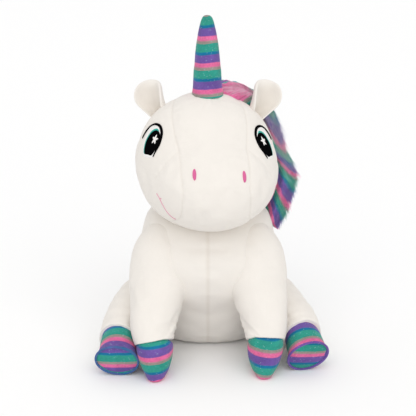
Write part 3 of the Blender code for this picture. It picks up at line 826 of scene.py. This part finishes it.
FRONT_LEG = {
    "left": (
        (39, -30, 136, 14, 15), (44, -38, 125, 22, 26), (48, -46, 111, 29, 33), (49.3, -54, 96, 31.2, 34),
        (51, -65, 80, 30.5, 31), (55, -79, 64, 26, 27), (58, -92, 46, 22.6, 23),
        (58.4, -100, 33, 19.3, 19.8),
    ),
    "right": (
        (39, -30, 136, 14, 15), (44, -38, 125, 22, 26), (48, -46, 111, 29, 33), (49.3, -55, 96, 31.2, 34),
        (51, -67, 80, 30.5, 31), (53.5, -82, 64, 26, 27.5), (56, -97, 46, 23, 23.5),
        (54.3, -105, 32, 19.6, 20.2),
    ),
}
FRONT_HOOF = {
    "left": (
        (58.4, -98, 37, 17.6, 17.8), (58.5, -102, 30, 18.2, 18.8), (57.8, -104, 21, 17.4, 20.4),
        (57.2, -106, 11, 14.8, 20.6), (57, -107, 4.0, 11.0, 18.6), (57, -107, 0.4, 8.0, 16.0),
    ),
    "right": (
        (54.3, -103, 37, 17.8, 18.2), (54, -107, 29, 18.6, 19.2), (53.4, -110, 20, 17.6, 20.6),
        (53, -112, 11, 14.8, 20.8), (53, -113, 4.0, 11.0, 18.6), (53, -113, 0.4, 8.0, 16.0),
    ),
}
REAR_LEG = {
    "left": ((58, 10, 42, 32, 34, 0), (68, -14, 37, 32, 34, 0), (80, -36, 34, 29, 30, 0),
             (92, -60, 31, 24.5, 24.5, 10), (98.5, -80, 27, 20.5, 20.8, 20)),
    "right": ((58, 8, 42, 32, 34, 0), (68, -16, 37, 32, 33, 0), (79, -40, 33, 29, 30, 0),
              (88, -66, 29, 24, 24, 4), (92.5, -87, 25.5, 20.5, 20.5, 8)),
}
REAR_HOOF = {
    "left": (
        (97, -76, 28, 18.2, 18.6, 18), (99, -83, 26, 18.6, 19.0, 20), (101, -94, 21.5, 19.6, 17.6, 28),
        (102, -105.5, 18.2, 21.4, 16.2, 30),
    ),
    "right": (
        (92, -82, 26.5, 18.2, 18.6, 6), (92.5, -90, 24.5, 18.6, 18.8, 8), (92, -103, 19.8, 19.6, 17.2, 10),
        (92, -115.5, 17.6, 21.6, 16.2, 10),
    ),
}


def mirrored(rows, side):
    """The rows on the given side: x and the twist change sign."""
    return [(side * row[0], *row[1:5], side * (row[5] if len(row) > 5 else 0)) for row in rows]


def wrinkled(grid, share, where, seed):
    """Shallow folds across a limb where it bends: waves along its length, deepest at one place."""
    deep = bell(share - where, 0.16)[:, None]
    sway = lumps(grid, 16.0, seed)
    folds = np.sin(share[:, None] * 70 + 2.6 * sway) * (0.5 + 0.5 * lumps(grid, 22.0, seed + 1))
    return deep * folds


def make_leg(kind, half, side, rows, caps):
    """A leg's skin: rings along its bent path, with a seam down its inner side and puckers beside it."""
    name = f"{kind}_{half}"
    grid = loft(mirrored(rows, side), (130, 180), caps, 2.15)
    share = np.linspace(0, 1, grid.shape[0])
    from_seam = turns(grid.shape[1]) - math.pi * (1.5 if side == LEFT else 0.5)
    seam_and_hollow_shade = np.broadcast_to(bell(from_seam * 22, SEAM_WIDTH), grid.shape[:2])
    dent = 0.7 * seam_and_hollow_shade
    cuff = bell((1 - share[:, None]) * 60, 2.2)
    held = np.clip(np.round(dent, 1), 0, 1)
    held[:8] = 1
    held[-8:] = 1
    grid = grid + settled(grid, held, 1.5) * 0.8
    pucker = np.sin(share[:, None] * 120) * bell(from_seam * 4, 1.8)
    folds = wrinkled(grid, share, 0.62, 11 + len(name))
    waves = 0.45 * lumps(grid, 18.0, 9) + 0.7 * folds + 0.35 * pucker * ease(share, 0.35, 0.6)[:, None]
    grid = puffed(grid, 0.5 * cuff - (dent - waves))
    raise_to(grid, FLOOR_GAP)
    # Painted shade along the seam's groove down the leg's inner side
    piece = skin(f"{name}_skin", grid, [PLUSH], {"seam_and_hollow_shade": 0.4 * seam_and_hollow_shade})
    nodes = [f"{name}_{part}" for part in ("outer_panel", "inner_panel", "stuffing")]
    finished(piece, name, nodes)


BAND_LENGTH = 25.5  # one repeat of the stripes
REAR_REPEAT = 28.0  # and down the rear hooves' sleeves
FRONT_BAND = {  # the band value where it is this high, one repeat's length and its slope across
    "left": (1.0, 33.0, -26.3, -0.11),
    "right": (0.33, 36.0, 24.7, 0.12),
}
REAR_BAND = {"left": 0.74, "right": 0.50}  # the band value at the ankle
SOLE_BAND = {"left": 0.40, "right": 0.62}  # and at the top of the sole
RIM_BAND = {"left": 3.55, "right": 3.38}  # and all round the rim


def make_front_hoof(half, side):
    """A wedge that narrows to a rounded toe line, its stripes level with the floor."""
    name = f"front_leg_{half}"
    grid = loft(mirrored(FRONT_HOOF[half], side), (90, 120), (0.16, 0.10), 2.3)
    raise_to(grid, FLOOR_GAP)
    start, high, repeat, tilt = FRONT_BAND[half]
    x0 = side * FRONT_HOOF[half][0][0]
    band = start + (high - grid[..., 2] + tilt * (grid[..., 0] - x0)) / repeat + WHOLE_REPEATS
    dart = polyline_distance(grid, [(x0 + 2, -128, 16), (x0 + 4, -131, 5)])[0]
    grid = puffed(grid, 0.35 * lumps(grid, 9.0, 41) - 1.4 * bell(dart, 2.6))
    raise_to(grid, FLOOR_GAP)
    piece = skin(f"{name}_hoof", grid, [STRIPED], {"band": band})
    finished(piece, name, [f"{name}_hoof_cover", f"{name}_hoof_sole"])


def make_rear_hoof(half, side):
    """A short striped sleeve to a flat almond sole, with a corded rim between them."""
    name = f"rear_leg_{half}"
    rows = mirrored(REAR_HOOF[half], side)
    grid = loft(rows, (80, 130), (0.16, 0.03), 2.05)
    path = np.array([row[:3] for row in rows])
    way = unit(path[-1] - path[0])
    band = REAR_BAND[half] - ((grid - path[0]) @ way) / REAR_REPEAT + WHOLE_REPEATS
    grid = puffed(grid, 0.4 * lumps(grid, 10.0, 43))
    raise_to(grid, FLOOR_GAP)
    piece = skin(f"{name}_hoof", grid, [STRIPED], {"band": band})
    finished(piece, name, [f"{name}_hoof_cover"])
    ring = loft(rows, (80, 130), (0.0, 0.0), 2.05)[-1]
    make_sole(name, half, ring, way)


def make_sole(name, half, ring, way):
    """The sole bulges inside its rim: rings shrink to the middle and rise a little."""
    middle = ring.mean(axis=0)
    shares = np.linspace(0, 1, 24)
    rise = 1.6 * (1 - shares**3) - 0.4
    top = middle + shares[:, None, None] * (ring - middle) * 0.97 + rise[:, None, None] * way
    under = middle + shares[::-1, None, None] * (ring - middle) * 0.97 - 2.0 * way
    grid = np.concatenate([top, under[1:]])
    up = unit(np.array((0, 0, 1.0)) - way[2] * way)
    tall = (grid - middle) @ up
    band = SOLE_BAND[half] - (tall.max() - tall) / BAND_LENGTH + WHOLE_REPEATS
    raise_to(grid, FLOOR_GAP)
    piece = skin(f"{name}_sole", grid, [STRIPED], {"band": band})
    finished(piece, name, [f"{name}_hoof_sole"])
    make_rim(name, half, ring, way)


def make_rim(name, half, ring, way):
    """A cord along the sole's edge: a small circle carried round the ring, joined to its start."""
    columns, sides = len(ring), 10
    angle = turns(sides)
    outward = unit(ring - ring.mean(axis=0))
    path = ring + 0.2 * way
    cord = path[:, None] + 1.15 * (
        np.cos(angle)[None, :, None] * outward[:, None] + np.sin(angle)[None, :, None] * way
    )
    raise_to(cord, FLOOR_GAP)
    i = np.arange(columns)[:, None] * sides
    j = np.arange(sides)[None]
    ni, nj = (i + sides) % (columns * sides), (j + 1) % sides
    faces = np.stack([i + j, ni + j, ni + nj, i + nj], -1).reshape(-1, 4)
    points = cord.reshape(-1, 3)
    first = faces[0]
    across = np.cross(points[first[1]] - points[first[0]], points[first[2]] - points[first[0]])
    if across @ (points[first[0]] - path[0]) < 0:
        faces = faces[:, ::-1]
    band = np.full(len(points), RIM_BAND[half])
    piece = mesh_piece(f"{name}_rim", points, faces.tolist(), [STRIPED], None, {"band": band})
    finished(piece, name, None)


def make_legs():
    """Both sides' legs and hooves."""
    for side, half in SIDES:
        make_leg("front_leg", half, side, FRONT_LEG[half], (0.18, 0.03))
        make_leg("rear_leg", half, side, REAR_LEG[half], (0.30, 0.03))
        make_front_hoof(half, side)
        make_rear_hoof(half, side)


# ---------------------------------------------------------------- horn and ears

HORN_TOP, HORN_FOOT = 353.2, 273.6
HORN_BAND_TOP, HORN_REPEAT = 351.3, 25.8  # where its stripes start, and one repeat's length
HORN_PROFILE = (  # height above the horn's foot and radius
    (0, 15.9), (4, 15.8), (9, 14.9), (14, 14.3), (24, 13.8), (32, 13.2), (42, 12.3), (52, 11.2), (60, 9.9),
    (66, 8.9), (72, 7.6), (76.5, 6.2), (80, 4.5), (81.8, 2.6), (82.2, 0.0),
)


def make_horn():
    """A turned cone: the radius follows its profile, with faint lumps over it."""
    rings, columns = 150, 130
    t = np.linspace(0, 1, rings)
    rise, radius = spline(HORN_PROFILE, t).T
    rise = rise * (HORN_TOP - HORN_FOOT) / HORN_PROFILE[-1][0]
    rise = np.concatenate([[0.0], rise])
    radius = np.concatenate([[0.0], np.maximum(radius, 0)])
    angle = turns(columns)
    axis_x = np.interp(rise, (0, 82), (-0.5, -0.8))[:, None]
    axis_y = np.interp(rise, (0, 82), (-37, -30))[:, None]
    x = axis_x + radius[:, None] * np.sin(angle)
    y = axis_y - radius[:, None] * np.cos(angle)
    z = np.broadcast_to(HORN_FOOT + rise[:, None], x.shape)
    grid = np.stack([x, y, z], -1)
    grid = puffed(grid, 0.35 * lumps(grid, 9.0, 51) * ease(radius, 1, 6)[:, None])
    band = (HORN_BAND_TOP - grid[..., 2]) / HORN_REPEAT + WHOLE_REPEATS + 0.02 * np.sin(angle * 2)
    piece = skin("horn_sleeve", grid, [STRIPED], {"band": band})
    finished(piece, "horn", ["horn_cover", "horn_stuffing"])


EAR_ROWS = (  # x, y, z, half the cut width, how far round it is bent in degrees, half thickness
    (40, -24, 238, 13, 150, 2.4), (44.5, -23, 245, 17, 140, 2.8), (50, -22, 254, 21, 115, 3.0),
    (55.5, -21, 263, 23.5, 95, 3.1), (58, -20, 272, 22, 82, 3.0), (58.5, -19, 280.5, 17, 72, 2.8),
    (57.5, -18, 286.5, 9, 60, 2.3),
)
EAR_LEAN = 26  # degrees that the bowl faces outwards


def make_ear(side, half):
    """A spoon: across it is an arc bent forward, nearly closed at the foot and open at the tip."""
    rings, columns = 80, 96
    s = np.linspace(0, 1, rings)
    row = spline(EAR_ROWS, s)
    angle = turns(columns)
    u, w = np.sin(angle), np.cos(angle)
    size = np.sqrt(np.clip(1 - np.clip((s - 0.86) / 0.14, 0, 1) ** 2, 0, 1))
    size *= np.sqrt(np.clip(1 - np.clip(1 - s / 0.05, 0, 1) ** 2, 0, 1))
    bend, thick = np.radians(row[:, 4]), row[:, 5] * size
    radius = row[:, 3] / bend
    turn = bend[:, None] * u * size[:, None]
    layer = thick[:, None] * np.sign(w) * np.abs(w) ** 0.75
    across = (radius[:, None] - layer) * np.sin(turn)
    deep = radius[:, None] - (radius[:, None] - layer) * np.cos(turn)
    centre = row[:, :3].copy()
    centre[:, 0] *= side
    lean = math.radians(EAR_LEAN) * side
    face = np.array((math.sin(lean), -math.cos(lean), 0))
    out = np.array((math.cos(lean), math.sin(lean), 0))
    grid = centre[:, None] + across[..., None] * out + (deep - 4)[..., None] * face
    grid = puffed(grid, 0.3 * lumps(grid, 8.0, 61))
    # Painted shade inside the bowl, on its curled front face, fading out at the ear's foot and tip
    painted_hollow_shade = 0.35 * np.clip(w, 0, 1) * ease(s, 0.05, 0.3)[:, None] * ease(1 - s, 0.03, 0.3)[:, None]
    piece = skin(f"ear_{half}_spoon", grid, [PLUSH], {"seam_and_hollow_shade": painted_hollow_shade})
    nodes = [f"ear_{half}_front", f"ear_{half}_back"]
    finished(piece, f"ear_{half}", nodes)


# ---------------------------------------------------------------- mane and tail

MANE_INNER = (  # the line where the mane is sewn on, from behind the horn to the nape
    (10, -24, 276), (6, -6, 277), (4, 12, 269), (2, 24, 252), (1, 30, 230), (1, 31, 206), (2, 30, 184),
    (6, 28, 164), (14, 26, 150),
)
MANE_OUTER = (  # where its ends lie
    (12, -20, 276), (26, -8, 275), (42, 0, 266), (57, 3, 250), (65, 4, 229), (69, 4, 212), (76, 4, 196),
    (80, 4, 184), (79, 4, 170), (75.5, 5, 156), (72, 6, 140), (66, 7, 126),
)
MANE_BAND = (  # place down the outer edge against stripe value: the repeats are longer near the horn
    (-0.4, 0.0, 0.12, 0.24, 0.37, 0.555, 0.785, 0.945, 1.5),
    (-2.4, -1.27, -1.06, -0.66, -0.2, 0.8, 1.8, 2.8, 6.0),
)
STRAND_COLOURS = (
    ("green", GREEN, 0.31), ("blue", BLUE, 0.42), ("purple", PURPLE, 0.73), ("pink", PINK, 0.93),
    ("grey", GREY, 1.0),
)
PILE_GAIN = 1.65  # loose pile shades itself, so its own colour is brighter


def strand_materials():
    """Two tones and a pale tip for each stripe, in the order of the stripes."""
    made = []
    for name, colour, _end in STRAND_COLOURS:
        bright = tuple(min(1, c * PILE_GAIN) for c in colour[:3]) + (1,)
        made.append(strand_material(f"pile_{name}", bright))
        made.append(strand_material(f"pile_{name}_light", paler(bright, 0.08)))
        made.append(strand_material(f"pile_{name}_tip", paler(bright, 0.44)))
    return made


def stripe_index(band):
    """Which stripe a band value lies in."""
    ends = np.array([end for _name, _colour, end in STRAND_COLOURS])
    return np.searchsorted(ends, band % 1.0)


def strands(name, paths, radius, band, tip_paleness, materials, body):
    """Tapered three-sided hairs along the given paths, one colour each, with paler ends for some."""
    count, rings = paths.shape[:2]
    along = unit(np.gradient(paths, axis=1))
    helper = np.array((0.31, 0.22, 0.93))
    side = unit(np.cross(along, helper))
    other = np.cross(along, side)
    s = np.linspace(0, 1, rings)
    taper = radius[:, None] * (0.75 + 0.35 * np.sin(math.pi * s) - 0.62 * s**2)[None]
    corner = np.arange(3) * 2 * math.pi / 3
    ring = paths[:, :, None] + taper[..., None, None] * (
        np.cos(corner)[:, None] * side[:, :, None] + np.sin(corner)[:, None] * other[:, :, None]
    )
    points = ring.reshape(count, -1, 3)
    per = rings * 3
    i = np.arange(rings - 1)[:, None] * 3
    j = np.arange(3)[None]
    k = (j + 1) % 3
    quads = np.stack([i + j, i + k, i + 3 + k, i + 3 + j], -1).reshape(-1, 4)
    faces = (quads[None] + (np.arange(count) * per)[:, None, None]).reshape(-1, 4).tolist()
    ends = np.array([[0, 2, 1], [per - 3, per - 2, per - 1]])
    faces += (ends[None] + (np.arange(count) * per)[:, None, None]).reshape(-1, 3).tolist()
    stripe = stripe_index(band)
    random = np.random.RandomState(len(name))
    tone = (random.uniform(size=count) < 0.4).astype(int)
    quad_ring = np.repeat(np.arange(rings - 1), 3)
    pale = quad_ring[None] >= (rings - 1) * (1 - tip_paleness[:, None])
    quad_material = stripe[:, None] * 3 + np.where(pale, 2, tone[:, None])
    end_material = np.stack([stripe * 3 + tone, quad_material[:, -1]], -1)
    face_material = np.concatenate([quad_material.ravel(), end_material.ravel()])
    piece = mesh_piece(name, points.reshape(-1, 3), faces, materials, face_material)
    finished(piece, body, None)


STRAND_SLOPE = 0.42  # how far a strand runs down the mane for its way across
MANE_MIDDLE = np.array((0.0, -20.0, 205.0))  # the mane stands off the head away from here
MANE_DEPTH = 6.5  # how far its cloth lies below the sheet


def mane_place(t, w):
    """The mane's sheet: t runs down its length, w from the sewn line to the ends and past them.

    Between the two edges it follows a rounded path that stands off the head.
    """
    inner = spline(MANE_INNER, t)
    outer = spline(MANE_OUTER, t)
    straight = inner + w[..., None] * (outer - inner)
    back = np.array((0.25, 1.0, 0.35))
    bulge = np.where(w < 1, 4 * w * (1 - np.clip(w, 0, 1)), 0.0)
    reach = np.linalg.norm(outer - inner, axis=-1)
    rise = 0.26 * reach * bulge * np.interp(t, (0, 0.25, 1), (0.35, 1, 1))
    return straight + rise[..., None] * unit(back)


def mane_band(t, w):
    """The stripe value: level lines run down and outwards, as the pile is combed."""
    return np.interp(t + STRAND_SLOPE * (1 - w), *MANE_BAND)


def make_mane_base():
    """The cloth under the mane's pile: the sheet thickened, in the same stripes."""
    rings, columns = 90, 60
    t = np.linspace(0.0, 0.97, rings)[:, None]
    turn = turns(columns)[None]
    thin_start = np.sin(math.pi * np.clip(t * 6, 0, 0.5))
    thin_end = np.sqrt(np.clip((1 - t) * 8, 0, 1))
    lift = 3.2 * np.sin(turn) * thin_start * thin_end
    t, w = np.broadcast_arrays(t, 0.45 - 0.45 * np.cos(turn))
    grid = mane_place(t, w)
    grid = grid + (lift - MANE_DEPTH)[..., None] * unit(grid - MANE_MIDDLE)
    piece = skin("mane_base", grid, [STRIPED], {"band": mane_band(t, w) + WHOLE_REPEATS})
    nodes = ["mane_crest", "mane_nape", "mane_fall", "mane_end"]
    finished(piece, "head", nodes)


def make_mane(materials):
    """Strands combed down and outwards over the sheet, longest along its ends."""
    make_mane_base()
    random = np.random.RandomState(71)
    count = 4600
    for part in range(3):
        w0 = random.uniform(0.0, 1.0, count) ** 0.7
        longest = random.uniform(0.30, 0.52, count)
        length = np.minimum(longest, 1.08 + random.uniform(0, 0.1, count) - w0)
        t0 = random.uniform(-0.02, 0.99, count) * (1 - 0.8 * STRAND_SLOPE * length)
        s = np.linspace(0, 1, 7)
        t = t0[:, None] + STRAND_SLOPE * length[:, None] * s
        w = w0[:, None] + length[:, None] * s
        path = mane_place(np.clip(t, 0, 1), w)
        outward = unit(path - MANE_MIDDLE)
        arch = np.sin(math.pi * np.clip(s * 0.75 + 0.08, 0, 1))
        lift = (1.5 + 5.5 * random.uniform(size=count)[:, None]) * arch
        root = np.stack([path[:, 0, 0], np.full(count, 200.0), path[:, 0, 2]], -1)
        lock = lumps(root, 8.0, 73) * 2.6 + 1.2 * lumps(root, 3.0, 76)
        flare = random.uniform(0, 1, count) ** 3 * np.interp(t0, (0, 0.5, 0.65, 1), (5.0, 4.0, 2.0, 2.0))
        path = path + (lift + (lock + flare)[:, None] * s**2)[..., None] * outward
        path[..., 2] += 0.7 * lumps(path + 300.0, 7.0, 74) + 0.4 * lock[:, None] * s - 1.5 * s**2
        band = mane_band(t0, w0) + random.normal(0, 0.012, count)
        frosted = random.uniform(size=count) < np.interp(t0, (0, 0.4, 0.55, 1), (0.9, 0.8, 0.1, 0.0))
        pale = np.where(frosted & (w0 + length > 0.8), random.uniform(0.3, 0.75, count), 0.0)
        radius = random.uniform(0.26, 0.44, count)
        name = f"mane_pile_{part + 1}"
        strands(name, path, radius, band, pale, materials, "head")


FORELOCK_X = (10, 34, 46, 60)  # where the stripes of the tuft beside the horn begin, from the middle out
FORELOCK_BAND = (0.74, 0.93, 1.28, 1.60)


def make_forelock(materials):
    """A tuft that springs from the head beside the horn and lies outwards, up and back."""
    random = np.random.RandomState(77)
    count = 5200
    x = random.uniform(10, 50, count)
    y = random.uniform(-4, 34, count) + 0.5 * np.maximum(x - 24, 0)
    root = on_head(unit(np.stack([x, y, 268 - 0.006 * x**2], -1) - HEAD_CENTRE))
    reach = random.uniform(11, 19, count) * np.interp(x, (10, 20, 36, 50), (0.7, 1, 1, 0.6))
    s = np.linspace(0, 1, 6)
    sway = 0.18 * lumps(root, 7.0, 78)
    way = unit(np.stack([0.80 + sway, 0.25 + 0.1 * random.normal(size=count), 0.62 - sway], -1))
    path = (root - [0, 0, 1])[:, None] + (reach[:, None] * s)[..., None] * way[:, None]
    path[..., 2] -= 0.16 * reach[:, None] * s**2
    band = np.interp(x + random.normal(0, 0.8, count), FORELOCK_X, FORELOCK_BAND)
    pale = np.where(random.uniform(size=count) < 0.85, random.uniform(0.3, 0.75, count), 0.0)
    radius = random.uniform(0.26, 0.42, count)
    path = head_to_frame(path)
    strands("mane_forelock", path, radius, band, pale, materials, "head")


TAIL_PATH = ((0, 54, 58), (0, 68, 57), (0, 82, 52), (0, 93, 41), (0, 99, 27), (0, 101, 15), (0, 101, 9))


def make_tail(materials):
    """The tail's core is a bent loft, with strands that run along it and wind round it a little."""
    rows = [(*place, size, size) for place, size in zip(TAIL_PATH, (7, 6, 5, 7, 8, 6, 3))]
    grid = loft(rows, (70, 60), (0.1, 0.25))
    raise_to(grid, 0.6)
    band = grid[..., 0] / BAND_LENGTH + grid[..., 2] / 60 + WHOLE_REPEATS
    piece = skin("tail_core", grid, [STRIPED], {"band": band})
    finished(piece, "tail", ["tail"])
    random = np.random.RandomState(81)
    count = 3000
    start = random.uniform(0.12, 0.7, count)
    length = random.uniform(0.25, 0.4, count)
    s = np.linspace(0, 1, 7)
    place = start[:, None] + length[:, None] * s
    centre = spline(TAIL_PATH, np.clip(place, 0, 1))
    size = np.interp(np.clip(place, 0, 1), (0, 0.3, 0.45, 0.7, 0.9, 1), (6, 6, 9, 13, 11, 6))
    size = size * (0.75 + 0.4 * random.uniform(size=count)[:, None] * s)
    angle = random.uniform(0, 2 * math.pi, count)[:, None] + 0.5 * s
    path = centre + size[..., None] * np.stack(
        [np.sin(angle), 0.8 * np.cos(angle), 0.25 * np.cos(angle)], -1
    )
    over = np.maximum(place - 1, 0)
    path[..., 2] = np.maximum(path[..., 2] - 20 * over + 0.8 * lumps(path, 6.0, 83), 1.2)
    band = path[:, 0, 0] / BAND_LENGTH + path[:, 0, 2] / 60
    radius = random.uniform(0.3, 0.5, count)
    pale = np.where(random.uniform(size=count) < 0.3, 0.3, 0.0)
    strands("tail_pile", path, radius, band, pale, materials, "tail")


# ---------------------------------------------------------------- stage, light and camera

FLOOR_REACH = 14.0
FLOOR_WHITE = (0.945, 0.945, 0.945, 1)


def make_stage():
    """A plain pale floor, far wider than the view."""
    mesh = bpy.data.meshes.new("floor")
    reach = FLOOR_REACH
    corners = [(-reach, -reach, 0), (reach, -reach, 0), (reach, reach, 0), (-reach, reach, 0)]
    mesh.from_pydata(corners, [], [(0, 1, 2, 3)])
    floor = bpy.data.objects.new("floor", mesh)
    bpy.context.scene.collection.objects.link(floor)
    made, _tree, shader = new_material("floor_white", 0.9)
    shader.inputs["Base Color"].default_value = FLOOR_WHITE
    mesh.materials.append(made)


def sky_lamp(name, direction, strength, spread, colour):
    """A lamp far away in this direction that looks this many degrees wide from the toy."""
    lamp = bpy.data.lights.new(name, "SUN")
    lamp.energy = strength
    lamp.angle = math.radians(spread)
    lamp.color = colour
    made = bpy.data.objects.new(name, lamp)
    made.rotation_euler = (-Vector(direction)).to_track_quat("-Z", "Y").to_euler()
    bpy.context.scene.collection.objects.link(made)


SKY_LIGHT, SKY_SEEN = 0.74, 1.0  # how bright the sky shines, and how bright it looks behind the floor


def make_light():
    """An even white sky, a soft lamp from the front and above, and a weak one overhead."""
    world = bpy.data.worlds.new("studio")
    bpy.context.scene.world = world
    world.use_nodes = True
    background = world.node_tree.nodes["Background"]
    background.inputs["Color"].default_value = (1.0, 1.0, 1.0, 1)
    seen = world.node_tree.nodes.new("ShaderNodeLightPath").outputs["Is Camera Ray"]
    strength = add_node(
        world.node_tree, "ShaderNodeMapRange", Value=seen, To_Min=SKY_LIGHT, To_Max=SKY_SEEN
    )
    feed(world.node_tree, background.inputs["Strength"], strength.outputs["Result"])
    sky_lamp("key", (0.10, -1.0, 0.85), 1.15, 80, (1.0, 0.995, 0.985))
    sky_lamp("top", (-0.1, 0.15, 1.0), 0.28, 70, (1.0, 1.0, 1.0))


CAMERA_AIM = (0.0, -0.08, 0.168)
CAMERA_DISTANCE = 0.95
CAMERA_PITCH = math.radians(17)
CAMERA_LENS = 82.2  # millimetres, on a sensor 36 mm wide


def make_camera():
    """A level-headed camera in front of the toy that looks down a little."""
    lens = bpy.data.cameras.new("camera")
    lens.lens = CAMERA_LENS
    lens.sensor_width = 36.0
    camera = bpy.data.objects.new("camera", lens)
    back = Vector((0, -math.cos(CAMERA_PITCH), math.sin(CAMERA_PITCH)))
    camera.location = Vector(CAMERA_AIM) + CAMERA_DISTANCE * back
    camera.rotation_euler = (math.radians(90) - CAMERA_PITCH, 0, 0)
    bpy.context.scene.collection.objects.link(camera)
    bpy.context.scene.camera = camera
    bpy.context.scene.view_settings.view_transform = "Standard"


make_camera()
make_stage()
make_light()
make_head()
make_face()
make_torso()
make_neck()
make_legs()
make_horn()
for ear_side, ear_half in SIDES:
    make_ear(ear_side, ear_half)
PILE = strand_materials()
make_mane(PILE)
make_forelock(PILE)
make_tail(PILE)
